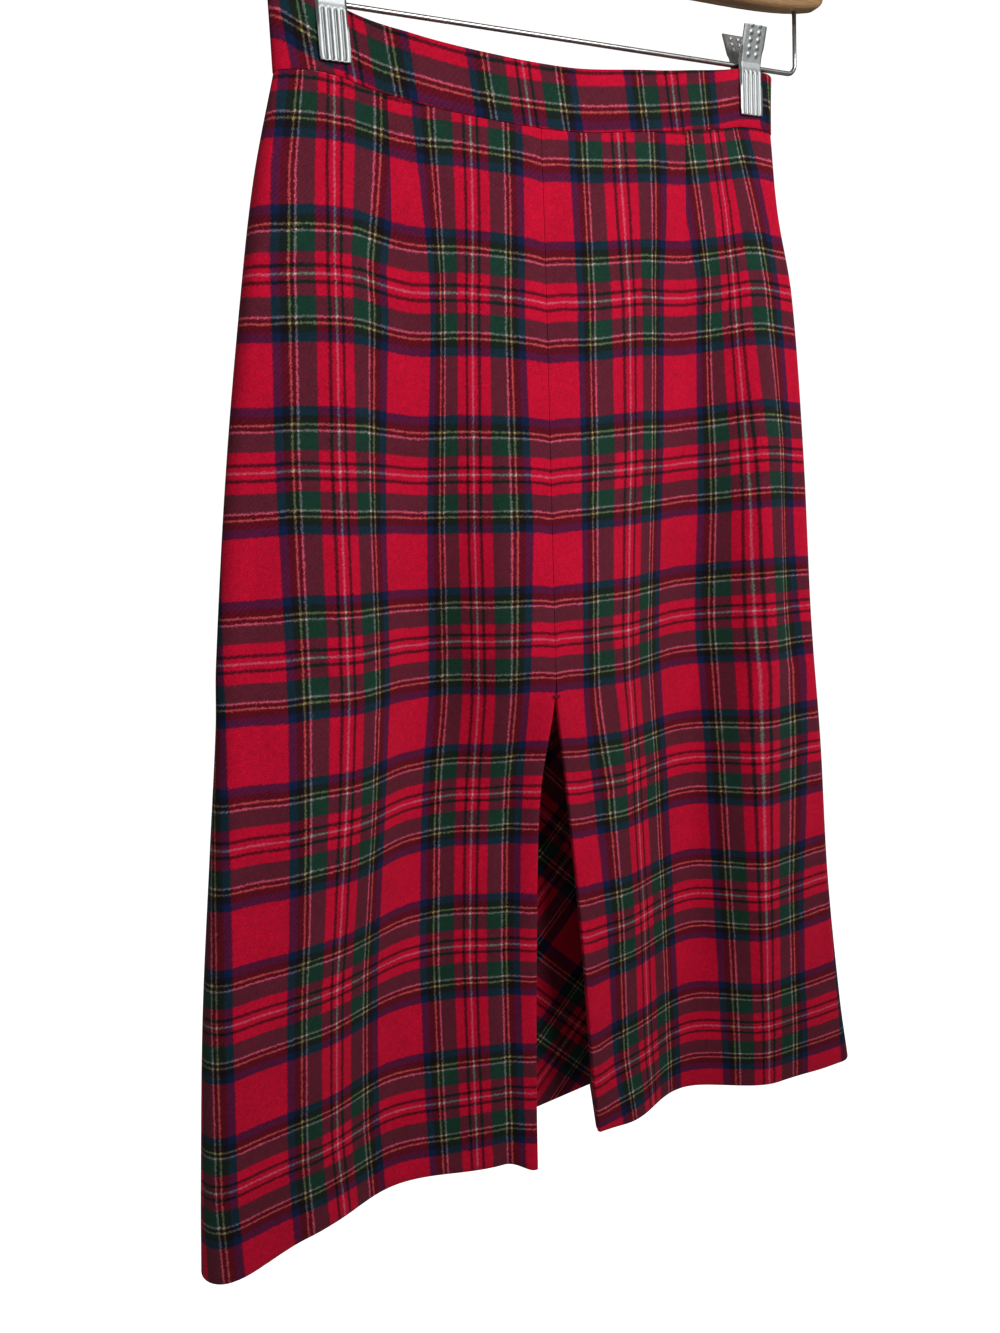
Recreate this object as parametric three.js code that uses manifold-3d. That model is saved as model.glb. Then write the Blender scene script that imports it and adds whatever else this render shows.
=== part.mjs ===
// Tartan wool skirt with an inverted pleat at the centre front, clipped to a wooden bar hanger.
// Millimetres, +Z up. The front faces -Y. The origin is the point where the hook rests on its rail.
import * as THREE from 'three';
import { mergeVertices } from 'three/addons/utils/BufferGeometryUtils.js';
import Module from 'manifold-3d';

const wasm = await Module();
wasm.setup();

// ---- driving sizes ----------------------------------------------------------------------------
const CLOTH = 2.0;            // wall of the napped wool twill
const BAND_CLOTH = 3.0;       // wall of the folded waistband
const GAP = 0.3;              // clearance at seams and seats
const WAIST_Z = -187.5;        // level of the waist seam, below the hook's rest point
const SKIRT_DROP = 680;       // waist seam to hem
const BAND_HEIGHT = 35;
const BAND_PROUD = 0.5;       // the band stands this far outside the panels below it
const CENTRE_X = -17;         // the centre front hangs this far to the side of the hook
const SEAM_SAG = 14;          // the waist droops this much between the clips
const SEAM_MIDDLE = -5;       // height of the seam's lowest point against WAIST_Z
const SAG_HALF_SPAN = 135;
const END_DROOP = 0.25;       // fall per millimetre of the waist outside the clips
const END_DROOP_START = 148;
const HANG_TILT = 0.024;      // the hanger hangs with its right end a little up, in radians

const PLEAT_TOP = 347;        // drop where the pleat opens
const PLEAT_SEAT = 12;        // length of the layers stitched above the opening
const RETURN_WIDTH = 56;      // turned-in width on each side of the pleat
const FOLD_LIP = 3;           // width over which the turned-in layer joins the fold's edge
const LAYER = 3.0;            // spacing of the pleat's layers along Y, where they slope
const SHOULDER = 22;          // distance from the centre edge to the panel's shoulder station

const ZIP_LENGTH = 180;
const ZIP_START = 4;          // the tape's top, below the waist seam
const ZIP_WIDTH = 24;
const ZIP_THICK = 1.0;
const LAP_LENGTH = 28;        // waistband's overlap at the centre back
const LAP_RAMP = 22;
const BUTTON_RADIUS = 8;
const BUTTON_THICK = 3;
const LAP_CLEAR = 4;          // the ring's own points stop this far before the lap's ramp
const BUTTON_INSET = 13;      // the button's centre, in from the lap's end

const BAR_HALF = 203;         // half the length of the wooden bar
const BAR_HEIGHT = 32;
const BAR_THICK = 12;
const BAR_BOTTOM = -100.5;
const BAR_BEVEL = 3;
const BAR_RISE = 5;           // rise of the underside at each end
const BAR_FALL = 9;           // fall of the top at each end
const BAR_END = 8;            // rounding of the ends
const BAR_CROWN = 16;         // half the flat seat of the hook
const BAR_WIRE_SEAT = 2.6;    // the underside's rise where the wire enters
const HOOK_WIRE = 1.7;        // radius of the hook's wire
const HOOK_RADIUS = 24;       // centre line of the crook
const HOOK_STEM = 8;
const HOOK_FROM = -62;        // the crook's arc, in degrees from +X
const HOOK_TO = 200;
const CLIP_WIRE = 1.5;        // radius of the wire that carries the clips
const CLIP_WIRE_Z = -137;
const CLIP_WIRE_HALF = 181;
const CLIP_WIRE_BEND = 6;
const CLIP_LEFT_X = -144.5;
const CLIP_RIGHT_X = 139.5;
const CLIP_WIDTH = 18;
const CLIP_BOTTOM = -168.5;
const JAW_LENGTH = 28.3;      // flat part of a plate, down the band
const CLIP_TOP = -113;
const CLIP_PLATE = 1.2;
const CLIP_FLARE = 12;        // half the spread of the levers at the top
const CLIP_SPRING = 3.4;      // radius of the spring's sleeve
const CLIP_SPRING_LENGTH = 12;
const JAW_Y = 4.9;            // inner face of a jaw, on the pinched band

const PLEAT_FLAT_AT = 14;     // opening at which the underlay has drawn flat

const ROWS = 17;              // levels of a panel
const PLEAT_ROWS = 12;        // levels of the pleat's layers
const RETURN_COLS = 8;        // stations across a turned-in layer
const UNDERLAY_COLS = 13;
const LAP_COLS = 12;
const ZIP_ROWS = 8;
const ZIP_COLS = 5;
const CROOK_STEPS = 20;
const BEND_STEPS = 6;
const COLS_FLAT = 20;         // steps across a panel's flat part
const COLS_TURN = 5;          // steps round a side
const TURN_TOP = 7;           // how far the side's rounding reaches at the waist and at the hem
const TURN_HEM = 16;

// One row for each level. Distances run from the centre front towards the side, depths along +Y.
// edge: where the panel starts (half the pleat's opening); valley and crest: the soft fold.
const COLUMNS = ['drop', 'half', 'edge', 'edgeY', 'shoulderY', 'valleyAt', 'valleyY',
  'crestAt', 'crestY', 'sideY'];
const FRONT_LEFT = [
  [0, 157, 0, -9.5, -9.5, 79, -8, 120, -3.6, -4.2],
  [50, 171, 0, -10, -11.5, 81, -7, 133, -9, -8],
  [100, 181, 0, -10, -11, 82, -3, 138, -11, -8],
  [200, 197, 0, -9, -9, 81, 9, 140, -7, -2],
  [312, 211, 0, -8, -8, 79, 23, 141, -2, 3],
  [347, 214, 0, -7.5, -4, 79, 27, 143, -1, 1],
  [418, 223, 8, 3, 14, 81, 32, 150, -1, -1],
  [524, 236, 15, 2, 13, 90, 33, 167, 3, -3],
  [630, 246, 20, 0, 9, 105, 26, 183, 3, -4],
  [680, 250, 23, -4, 7, 114, 22, 185, 3, -5],
];
const FRONT_RIGHT = [
  [0, 180, 0, -9.5, -9.5, 101, -8, 155, -3.6, -4.2],
  [50, 185, 0, -10, -11.5, 103, -7, 157, -9, -8],
  [100, 198, 0, -10, -11, 110, -3, 160, -11, -8],
  [200, 215, 0, -9, -9, 122, 10, 170, -8, -2],
  [312, 229, 0, -8, -8, 132, 25, 179, -4, 4],
  [347, 232, 0, -7.5, -4, 132, 27, 179, -5, 3],
  [418, 240, 13, 5, 6, 131, 29, 178, -6, 2],
  [524, 249, 21, 4, 6, 129, 27, 178, -8, 1],
  [630, 259, 27, 4, 7, 123, 23, 182, -8, -6],
  [680, 267, 32, 6, 5, 117, 24, 188, -6, -8],
];
// The back keeps the widths of the fronts. Its soft folds lie under its own darts.
const BACK_COLUMNS = ['drop', 'edgeY', 'shoulderY', 'valleyAt', 'valleyY', 'crestAt', 'crestY',
  'sideY'];
const BACK = [
  [0, 12, 11, 76, 8, 115, 3.6, 4.2],
  [50, 16, 16, 92, 12, 145, 11, 9],
  [100, 22, 21, 93, 16, 148, 17, 11],
  [200, 33, 32, 96, 25, 154, 24, 15],
  [312, 46, 45, 100, 37, 162, 33, 20],
  [418, 58, 57, 104, 46, 170, 39, 23],
  [524, 67, 66, 108, 54, 180, 42, 26],
  [630, 73, 72, 112, 60, 188, 44, 28],
  [680, 75, 74, 114, 62, 190, 45, 28],
];

// ---- tables and sections ----------------------------------------------------------------------
const lerp = THREE.MathUtils.lerp;
const clamp = THREE.MathUtils.clamp;

// A table's row at any level, by a smooth curve through its rows.
function rowAt(table, names, drop) {
  const last = table.length - 1;
  let k = 0;
  while (k < last - 1 && table[k + 1][0] < drop) k += 1;
  const here = table[k];
  const next = table[k + 1];
  const before = table[Math.max(k - 1, 0)];
  const after = table[Math.min(k + 2, last)];
  const span = next[0] - here[0];
  const t = clamp((drop - here[0]) / span, 0, 1);
  const row = {};
  names.forEach((name, c) => {
    const slopeHere = (next[c] - before[c]) / Math.max(next[0] - before[0], 1) * span;
    const slopeNext = (after[c] - here[c]) / Math.max(after[0] - here[0], 1) * span;
    const t2 = t * t;
    const t3 = t2 * t;
    row[name] = (2 * t3 - 3 * t2 + 1) * here[c] + (t3 - 2 * t2 + t) * slopeHere
      + (-2 * t3 + 3 * t2) * next[c] + (t3 - t2) * slopeNext;
  });
  return row;
}

function frontRow(side, drop) {
  const row = rowAt(side < 0 ? FRONT_LEFT : FRONT_RIGHT, COLUMNS, drop);
  row.edge = drop > PLEAT_TOP ? Math.max(row.edge, 0) : 0;
  return row;
}

function backRow(side, drop) {
  const row = rowAt(BACK, BACK_COLUMNS, drop);
  row.half = frontRow(side, drop).half;
  row.edge = 0;
  return row;
}

function turnRadius(drop) {
  return lerp(TURN_TOP, TURN_HEM, drop / SKIRT_DROP);
}

// Depth of a panel's outer face at a distance from the centre: eased between the row's stations.
function depthAt(row, distance, turn) {
  const stations = [
    [row.edge, row.edgeY],
    [row.edge + SHOULDER, row.shoulderY],
    [row.valleyAt, row.valleyY],
    [row.crestAt, row.crestY],
    [row.half - turn, row.sideY],
  ];
  let k = 0;
  while (k < stations.length - 2 && stations[k + 1][0] < distance) k += 1;
  const [fromAt, fromY] = stations[k];
  const [toAt, toY] = stations[k + 1];
  const t = clamp((distance - fromAt) / (toAt - fromAt), 0, 1);
  return lerp(fromY, toY, (1 - Math.cos(Math.PI * t)) / 2);
}

function seamHeight(x) {
  const sag = SEAM_SAG * Math.min(1, Math.abs(x) / SAG_HALF_SPAN) ** 2;
  const droop = END_DROOP * Math.max(0, Math.abs(x) - END_DROOP_START);
  return SEAM_MIDDLE + sag - droop + HANG_TILT * x;
}

function levelAt(x, drop) {
  return WAIST_Z + lerp(seamHeight(x), -SKIRT_DROP, drop / SKIRT_DROP);
}

// Plan of one quarter of the skirt, from the centre to the side seam. facing: -1 front, 1 back.
function quarter(side, facing, drop) {
  const row = facing < 0 ? frontRow(side, drop) : backRow(side, drop);
  const frontSide = frontRow(side, drop).sideY;
  const backSide = backRow(side, drop).sideY;
  const turn = turnRadius(drop);
  const points = [];
  const start = Math.max(row.edge, GAP / 2);
  const end = row.half - turn;
  for (let k = 0; k <= COLS_FLAT; k += 1) {
    const distance = lerp(start, end, k / COLS_FLAT);
    points.push([CENTRE_X + side * distance, depthAt(row, distance, turn)]);
  }
  const middle = (frontSide + backSide) / 2;
  const reach = Math.abs(row.sideY - middle) - GAP / 2;
  for (let k = 1; k <= COLS_TURN; k += 1) {
    const angle = (Math.PI / 2) * (k / COLS_TURN);
    const x = CENTRE_X + side * (end + turn * Math.sin(angle));
    points.push([x, middle + facing * (GAP / 2 + reach * Math.cos(angle))]);
  }
  return points;
}

// Moves a plan line sideways by its own normals. A positive amount moves it to its right hand.
function offsetLine(line, amount) {
  return line.map((point, k) => {
    const before = line[Math.max(k - 1, 0)];
    const after = line[Math.min(k + 1, line.length - 1)];
    const dx = after[0] - before[0];
    const dy = after[1] - before[1];
    const length = Math.hypot(dx, dy);
    return [point[0] + dy / length * amount, point[1] - dx / length * amount];
  });
}

// ---- closed walls from grids of points --------------------------------------------------------
// outer and inner are grids of [x, y, z], rows downwards. The wall closes round its four edges.
function wall(outer, inner) {
  const rows = outer.length;
  const cols = outer[0].length;
  const positions = [];
  [outer, inner].forEach((grid) => grid.forEach((line) => line.forEach((p) => positions.push(...p))));
  const out = (r, c) => r * cols + c;
  const inn = (r, c) => rows * cols + r * cols + c;
  const faces = [];
  const quad = (a, b, c, d) => faces.push(a, b, c, a, c, d);
  for (let r = 0; r < rows - 1; r += 1) {
    for (let c = 0; c < cols - 1; c += 1) {
      quad(out(r, c), out(r + 1, c), out(r + 1, c + 1), out(r, c + 1));
      quad(inn(r, c), inn(r, c + 1), inn(r + 1, c + 1), inn(r + 1, c));
    }
  }
  for (let c = 0; c < cols - 1; c += 1) {
    quad(out(0, c), out(0, c + 1), inn(0, c + 1), inn(0, c));
    quad(out(rows - 1, c), inn(rows - 1, c), inn(rows - 1, c + 1), out(rows - 1, c + 1));
  }
  for (let r = 0; r < rows - 1; r += 1) {
    quad(out(r, 0), inn(r, 0), inn(r + 1, 0), out(r + 1, 0));
    quad(out(r, cols - 1), out(r + 1, cols - 1), inn(r + 1, cols - 1), inn(r, cols - 1));
  }
  const geometry = new THREE.BufferGeometry();
  geometry.setAttribute('position', new THREE.Float32BufferAttribute(positions, 3));
  geometry.setIndex(faces);
  return faceOutwards(geometry);
}

function signedVolume(geometry) {
  const p = geometry.getAttribute('position');
  const index = geometry.getIndex().array;
  const a = new THREE.Vector3();
  const b = new THREE.Vector3();
  const c = new THREE.Vector3();
  let sum = 0;
  for (let k = 0; k < index.length; k += 3) {
    a.fromBufferAttribute(p, index[k]);
    b.fromBufferAttribute(p, index[k + 1]);
    c.fromBufferAttribute(p, index[k + 2]);
    sum += a.dot(b.cross(c));
  }
  return sum;
}

// A wall on the other side of the centre is mirrored, so its faces are turned to point out.
function faceOutwards(geometry) {
  if (signedVolume(geometry) > 0) return geometry;
  const index = geometry.getIndex().array;
  for (let k = 0; k < index.length; k += 3) [index[k], index[k + 1]] = [index[k + 1], index[k]];
  return geometry;
}

function toSolid(geometry) {
  const bare = new THREE.BufferGeometry();
  bare.setAttribute('position', geometry.getAttribute('position').clone());
  bare.setIndex(geometry.getIndex());
  const merged = mergeVertices(bare, 1e-4);
  return new wasm.Manifold(new wasm.Mesh({
    numProp: 3,
    vertProperties: new Float32Array(merged.getAttribute('position').array),
    triVerts: new Uint32Array(merged.getIndex().array),
  }));
}

function fromSolid(solid) {
  const mesh = solid.getMesh();
  const geometry = new THREE.BufferGeometry();
  geometry.setAttribute('position', new THREE.BufferAttribute(mesh.vertProperties, 3));
  geometry.setIndex(new THREE.BufferAttribute(mesh.triVerts, 1));
  return geometry;
}

// Rows of points: each level's plan line, lifted to its height.
function lift(line, drop) {
  return line.map(([x, y]) => [x, y, levelAt(x, drop)]);
}

function steps(from, to, count) {
  return Array.from({ length: count }, (_, k) => lerp(from, to, k / (count - 1)));
}

// ---- the cloth --------------------------------------------------------------------------------
// The inner face of a wall. Its first end is moved straight along Y, so neighbours stay apart.
function inset(line, side, towards) {
  const inner = offsetLine(line, -side * towards * CLOTH);
  inner[0] = [line[0][0], line[0][1] + towards * CLOTH];
  return inner;
}

function panel(side, facing) {
  const outer = [];
  const inner = [];
  steps(GAP, SKIRT_DROP, ROWS).forEach((drop) => {
    const line = quarter(side, facing, drop);
    const inside = inset(line, side, -facing);
    const [endX, endY] = line[line.length - 1];
    inside[line.length - 1] = [endX - side * CLOTH, endY];
    outer.push(lift(line, drop));
    inner.push(lift(inside, drop));
  });
  return wall(outer, inner);
}

// Depth of the turned-in layer's outer face: it slants back from the fold to the underlay.
function returnDepth(row, distance, turn) {
  const opened = Math.sqrt(RETURN_WIDTH ** 2 - (RETURN_WIDTH - row.edge) ** 2);
  const slack = Math.max(0, row.edgeY + opened - depthAt(row, RETURN_WIDTH, turn));
  const share = clamp((distance - row.edge) / (RETURN_WIDTH - row.edge), 0, 1);
  return depthAt(row, distance, turn) + LAYER + slack * share;
}

function returnWall(side) {
  const outer = [];
  const inner = [];
  steps(PLEAT_TOP - PLEAT_SEAT, SKIRT_DROP, PLEAT_ROWS).forEach((drop) => {
    const row = frontRow(side, drop);
    const turn = turnRadius(drop);
    const start = Math.max(row.edge, GAP / 2);
    const line = [[CENTRE_X + side * start, row.edgeY + CLOTH / 2]];
    steps(start + FOLD_LIP, RETURN_WIDTH, RETURN_COLS).forEach((distance) => {
      line.push([CENTRE_X + side * distance, returnDepth(row, distance, turn)]);
    });
    outer.push(lift(line, drop));
    inner.push(lift(inset(line, side, 1), drop));
  });
  return wall(outer, inner);
}

function front(side) {
  return fromSolid(toSolid(panel(side, -1)).add(toSolid(returnWall(side))));
}

// The underlay spans the two turned-in layers. It lies flat behind them where the pleat is open.
function underlay() {
  const outer = [];
  const inner = [];
  steps(PLEAT_TOP - PLEAT_SEAT, SKIRT_DROP, PLEAT_ROWS).forEach((drop) => {
    const turn = turnRadius(drop);
    const rows = { left: frontRow(-1, drop), right: frontRow(1, drop) };
    const leftEnd = returnDepth(rows.left, RETURN_WIDTH, turn) + LAYER;
    const rightEnd = returnDepth(rows.right, RETURN_WIDTH, turn) + LAYER;
    const opened = clamp((rows.left.edge + rows.right.edge) / PLEAT_FLAT_AT, 0, 1);
    const line = steps(-RETURN_WIDTH, RETURN_WIDTH, UNDERLAY_COLS).map((distance) => {
      const row = distance < 0 ? rows.left : rows.right;
      const behind = returnDepth(row, Math.abs(distance), turn) + LAYER;
      const flat = lerp(leftEnd, rightEnd, (distance / RETURN_WIDTH + 1) / 2);
      return [CENTRE_X + distance, lerp(behind, Math.max(flat, behind), opened)];
    });
    outer.push(lift(line, drop));
    inner.push(lift(inset(line, 1, 1), drop));
  });
  return wall(outer, inner);
}

// Depth of the back's outer face at the waist, at a place along X.
function backWaistY(x) {
  const distance = x - CENTRE_X;
  return depthAt(backRow(distance < 0 ? -1 : 1, 0), Math.abs(distance), TURN_TOP);
}

// The band: one strip round the waist from the centre back, whose end laps over its start.
function waistband() {
  const ring = [
    ...quarter(1, 1, 0),
    ...quarter(1, -1, 0).reverse(),
    ...quarter(-1, -1, 0).slice(1),
    ...quarter(-1, 1, 0).reverse(),
  ];
  const lapStart = CENTRE_X - LAP_RAMP;
  const shut = ring.filter(([x, y], k) => k < ring.length / 2 || y < 0 || x < lapStart - LAP_CLEAR);
  const line = offsetLine(shut, -BAND_PROUD);
  steps(lapStart, CENTRE_X + LAP_LENGTH, LAP_COLS).forEach((x) => {
    const rise = clamp((x - lapStart) / LAP_RAMP, 0, 1);
    const ease = (1 - Math.cos(Math.PI * rise)) / 2;
    line.push([x, backWaistY(x) + BAND_PROUD + ease * (BAND_CLOTH + 2 * GAP)]);
  });
  const inside = offsetLine(line, BAND_CLOTH);
  const outer = [];
  const inner = [];
  [BAND_HEIGHT, BAND_HEIGHT / 2, 0].forEach((height) => {
    outer.push(line.map(([x, y]) => [x, y, WAIST_Z + seamHeight(x) + height]));
    inner.push(inside.map(([x, y]) => [x, y, WAIST_Z + seamHeight(x) + height]));
  });
  return wall(outer, inner);
}

// The concealed zip's tape, inside the centre back.
function zipTape() {
  const outer = [];
  const inner = [];
  steps(ZIP_START, ZIP_LENGTH, ZIP_ROWS).forEach((drop) => {
    const line = steps(-ZIP_WIDTH / 2, ZIP_WIDTH / 2, ZIP_COLS).map((distance) => {
      const row = backRow(distance < 0 ? -1 : 1, drop);
      const y = depthAt(row, Math.abs(distance), turnRadius(drop));
      return [CENTRE_X + distance, y - CLOTH - 2 * GAP];
    });
    outer.push(lift(line, drop));
    inner.push(lift(line.map(([x, y]) => [x, y - ZIP_THICK]), drop));
  });
  return wall(outer, inner);
}

// A round button with a raised rim, its axis along +Y.
function waistButton() {
  const rim = BUTTON_THICK;
  const dish = BUTTON_THICK * 0.8;
  const profile = [
    [0, 0],
    [BUTTON_RADIUS - 0.8, 0],
    [BUTTON_RADIUS, rim / 2],
    [BUTTON_RADIUS - 0.6, rim],
    [BUTTON_RADIUS - 2.4, dish],
    [0, dish],
  ].map(([r, h]) => new THREE.Vector2(r, h));
  return new THREE.LatheGeometry(profile, 24);
}

// ---- the hanger -------------------------------------------------------------------------------
// The wooden bar's outline, seen from the front: a level underside that rises to rounded ends.
function hangerBar() {
  const low = BAR_BOTTOM;
  const high = BAR_BOTTOM + BAR_HEIGHT;
  const near = BAR_HALF * 0.6;
  const far = BAR_HALF - BAR_END;
  const shape = new THREE.Shape();
  shape.moveTo(-near, low);
  shape.lineTo(near, low);
  shape.quadraticCurveTo(BAR_HALF * 0.85, low, far, low + BAR_RISE);
  shape.quadraticCurveTo(BAR_HALF, low + BAR_RISE + 1, BAR_HALF, low + BAR_RISE + BAR_END);
  shape.quadraticCurveTo(BAR_HALF, high - BAR_FALL, far, high - BAR_FALL);
  shape.quadraticCurveTo(near, high - BAR_FALL / 4, BAR_CROWN, high);
  shape.lineTo(-BAR_CROWN, high);
  shape.quadraticCurveTo(-near, high - BAR_FALL / 4, -far, high - BAR_FALL);
  shape.quadraticCurveTo(-BAR_HALF, high - BAR_FALL, -BAR_HALF, low + BAR_RISE + BAR_END);
  shape.quadraticCurveTo(-BAR_HALF, low + BAR_RISE + 1, -far, low + BAR_RISE);
  shape.quadraticCurveTo(-BAR_HALF * 0.85, low, -near, low);
  const geometry = new THREE.ExtrudeGeometry(shape, {
    depth: BAR_THICK - 2 * BAR_BEVEL,
    bevelEnabled: true,
    bevelThickness: BAR_BEVEL,
    bevelSize: BAR_BEVEL,
    bevelOffset: -BAR_BEVEL,
    bevelSegments: 3,
    curveSegments: 6,
  });
  geometry.rotateX(Math.PI / 2);
  geometry.translate(0, BAR_THICK / 2 - BAR_BEVEL, 0);
  return geometry;
}

// A curve that passes through its stations in equal steps, so long straights stay one step.
class StationCurve extends THREE.Curve {
  constructor(stations) {
    super();
    this.stations = stations;
  }

  getPoint(t) {
    const last = this.stations.length - 1;
    const k = Math.min(Math.floor(t * last), last - 1);
    return this.stations[k].clone().lerp(this.stations[k + 1], t * last - k);
  }

  getPointAt(u) {
    return this.getPoint(u);
  }

  getTangentAt(u) {
    return this.getTangent(u);
  }
}

function bentWire(radius, stations) {
  const section = new THREE.Shape();
  section.absarc(0, 0, radius, 0, Math.PI * 2, false);
  return new THREE.ExtrudeGeometry(section, {
    steps: stations.length - 1,
    extrudePath: new StationCurve(stations),
    curveSegments: 5,
  });
}

function arc(centreX, centreZ, radius, fromDegrees, toDegrees, count) {
  return steps(fromDegrees, toDegrees, count).map((degrees) => {
    const angle = THREE.MathUtils.degToRad(degrees);
    const x = centreX + radius * Math.cos(angle);
    return new THREE.Vector3(x, 0, centreZ + radius * Math.sin(angle));
  });
}

// The hook: a stem out of the bar's top that sets over into the open crook.
function hangerHook() {
  const stemFoot = BAR_BOTTOM + BAR_HEIGHT + GAP;
  const crookZ = HOOK_WIRE - HOOK_RADIUS;
  const neck = 6;
  return bentWire(HOOK_WIRE, [
    new THREE.Vector3(0, 0, stemFoot),
    new THREE.Vector3(0, 0, stemFoot + HOOK_STEM),
    ...arc(neck, stemFoot + HOOK_STEM, neck, 155, 115, 3),
    ...arc(0, crookZ, HOOK_RADIUS, HOOK_FROM, HOOK_TO, CROOK_STEPS),
  ]);
}

// The U of wire below the bar that the clips slide on.
function clipWire() {
  const top = BAR_BOTTOM + BAR_WIRE_SEAT - GAP;
  const bend = CLIP_WIRE_BEND;
  const inner = CLIP_WIRE_HALF - bend;
  return bentWire(CLIP_WIRE, [
    new THREE.Vector3(-CLIP_WIRE_HALF, 0, top),
    ...arc(-inner, CLIP_WIRE_Z + bend, bend, 180, 270, BEND_STEPS),
    ...arc(inner, CLIP_WIRE_Z + bend, bend, 270, 360, BEND_STEPS),
    new THREE.Vector3(CLIP_WIRE_HALF, 0, top),
  ]);
}

// One plate of a clip: a bent strip that grips the band, closes on the spring and flares out.
function clipPlate() {
  const faces = [
    [JAW_Y, CLIP_BOTTOM],
    [JAW_Y, CLIP_BOTTOM + JAW_LENGTH],
    [CLIP_SPRING + 2 * GAP, CLIP_WIRE_Z],
    [CLIP_FLARE, CLIP_TOP],
  ];
  const outline = [
    ...faces,
    ...faces.map(([y, z]) => [y + CLIP_PLATE, z]).reverse(),
  ].map(([y, z]) => new THREE.Vector2(y, z));
  const geometry = new THREE.ExtrudeGeometry(new THREE.Shape(outline), {
    depth: CLIP_WIDTH,
    bevelEnabled: false,
  });
  geometry.translate(0, 0, -CLIP_WIDTH / 2);
  const basis = new THREE.Matrix4().makeBasis(
    new THREE.Vector3(0, 1, 0),
    new THREE.Vector3(0, 0, 1),
    new THREE.Vector3(1, 0, 0),
  );
  return geometry.applyMatrix4(basis);
}

// The spring's sleeve round the wire, its axis along X.
function clipSpring() {
  const bore = CLIP_WIRE + GAP;
  const half = CLIP_SPRING_LENGTH / 2;
  const profile = [
    [bore, -half],
    [CLIP_SPRING, -half],
    [CLIP_SPRING, half],
    [bore, half],
    [bore, -half],
  ].map(([r, h]) => new THREE.Vector2(r, h));
  return new THREE.LatheGeometry(profile, 16).rotateZ(Math.PI / 2);
}

// ---- finishes and assembly --------------------------------------------------------------------
function finish(color, roughness, metalness) {
  return new THREE.MeshStandardMaterial({ color, roughness, metalness });
}

function piece(name, geometry, material) {
  const mesh = new THREE.Mesh(geometry, material);
  mesh.name = name;
  return mesh;
}

function skirt() {
  const group = new THREE.Group();
  group.add(piece('waistband', waistband(), finish(0x8a1226, 0.9, 0)));
  group.add(piece('front_left', front(-1), finish(0xb00a2c, 0.9, 0)));
  group.add(piece('front_right', front(1), finish(0xb00a2c, 0.9, 0)));
  group.add(piece('pleat_underlay', underlay(), finish(0x6a0f1e, 0.9, 0)));
  group.add(piece('back_left', panel(-1, 1), finish(0xa00b2a, 0.9, 0)));
  group.add(piece('back_right', panel(1, 1), finish(0xa00b2a, 0.9, 0)));
  group.add(piece('zip_tape', zipTape(), finish(0x1d2430, 0.8, 0)));
  const button = piece('waist_button', waistButton(), finish(0x2a1216, 0.35, 0));
  const buttonX = CENTRE_X + LAP_LENGTH - BUTTON_INSET;
  const bandY = backWaistY(buttonX) + BAND_PROUD + BAND_CLOTH + 2 * GAP;
  const middle = WAIST_Z + seamHeight(buttonX) + BAND_HEIGHT / 2;
  button.position.set(buttonX, bandY + 2 * GAP, middle);
  group.add(button);
  return group;
}

function clip(name, x) {
  const group = new THREE.Group();
  const metal = () => finish(0xb9bcbd, 0.3, 1);
  const frontPlate = piece(`${name}_front`, clipPlate(), metal());
  frontPlate.rotation.z = Math.PI;
  const backPlate = piece(`${name}_back`, clipPlate(), metal());
  const spring = piece(`${name}_spring`, clipSpring(), metal());
  spring.position.z = CLIP_WIRE_Z;
  group.add(frontPlate, backPlate, spring);
  group.position.x = x;
  return group;
}

function hanger() {
  const group = new THREE.Group();
  group.add(piece('hanger_bar', hangerBar(), finish(0xc79a63, 0.5, 0)));
  group.add(piece('hanger_hook', hangerHook(), finish(0xb5b7b8, 0.25, 1)));
  group.add(piece('clip_wire', clipWire(), finish(0xb5b7b8, 0.25, 1)));
  group.add(clip('clip_left', CLIP_LEFT_X));
  group.add(clip('clip_right', CLIP_RIGHT_X));
  group.rotation.y = -HANG_TILT;
  return group;
}

const part = new THREE.Group();
part.add(skirt(), hanger());

export default part;
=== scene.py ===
# %% [markdown]
# # A tartan skirt on a clip hanger
#
# This lesson dresses a plain solid model of a wool skirt. The skirt hangs by its waistband from the two
# clips of a wooden bar hanger. It is cut in two front halves, two back halves, a strip behind the pleat
# and a waistband, so each of those is a piece of cloth here as well. The solids say where everything
# goes. Everything is in metres, the skirt's front faces -Y and the hook hangs from the origin.

# %% Load the solids
import functools
import math

import bmesh
import bpy
from mathutils import Matrix, Vector


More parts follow.
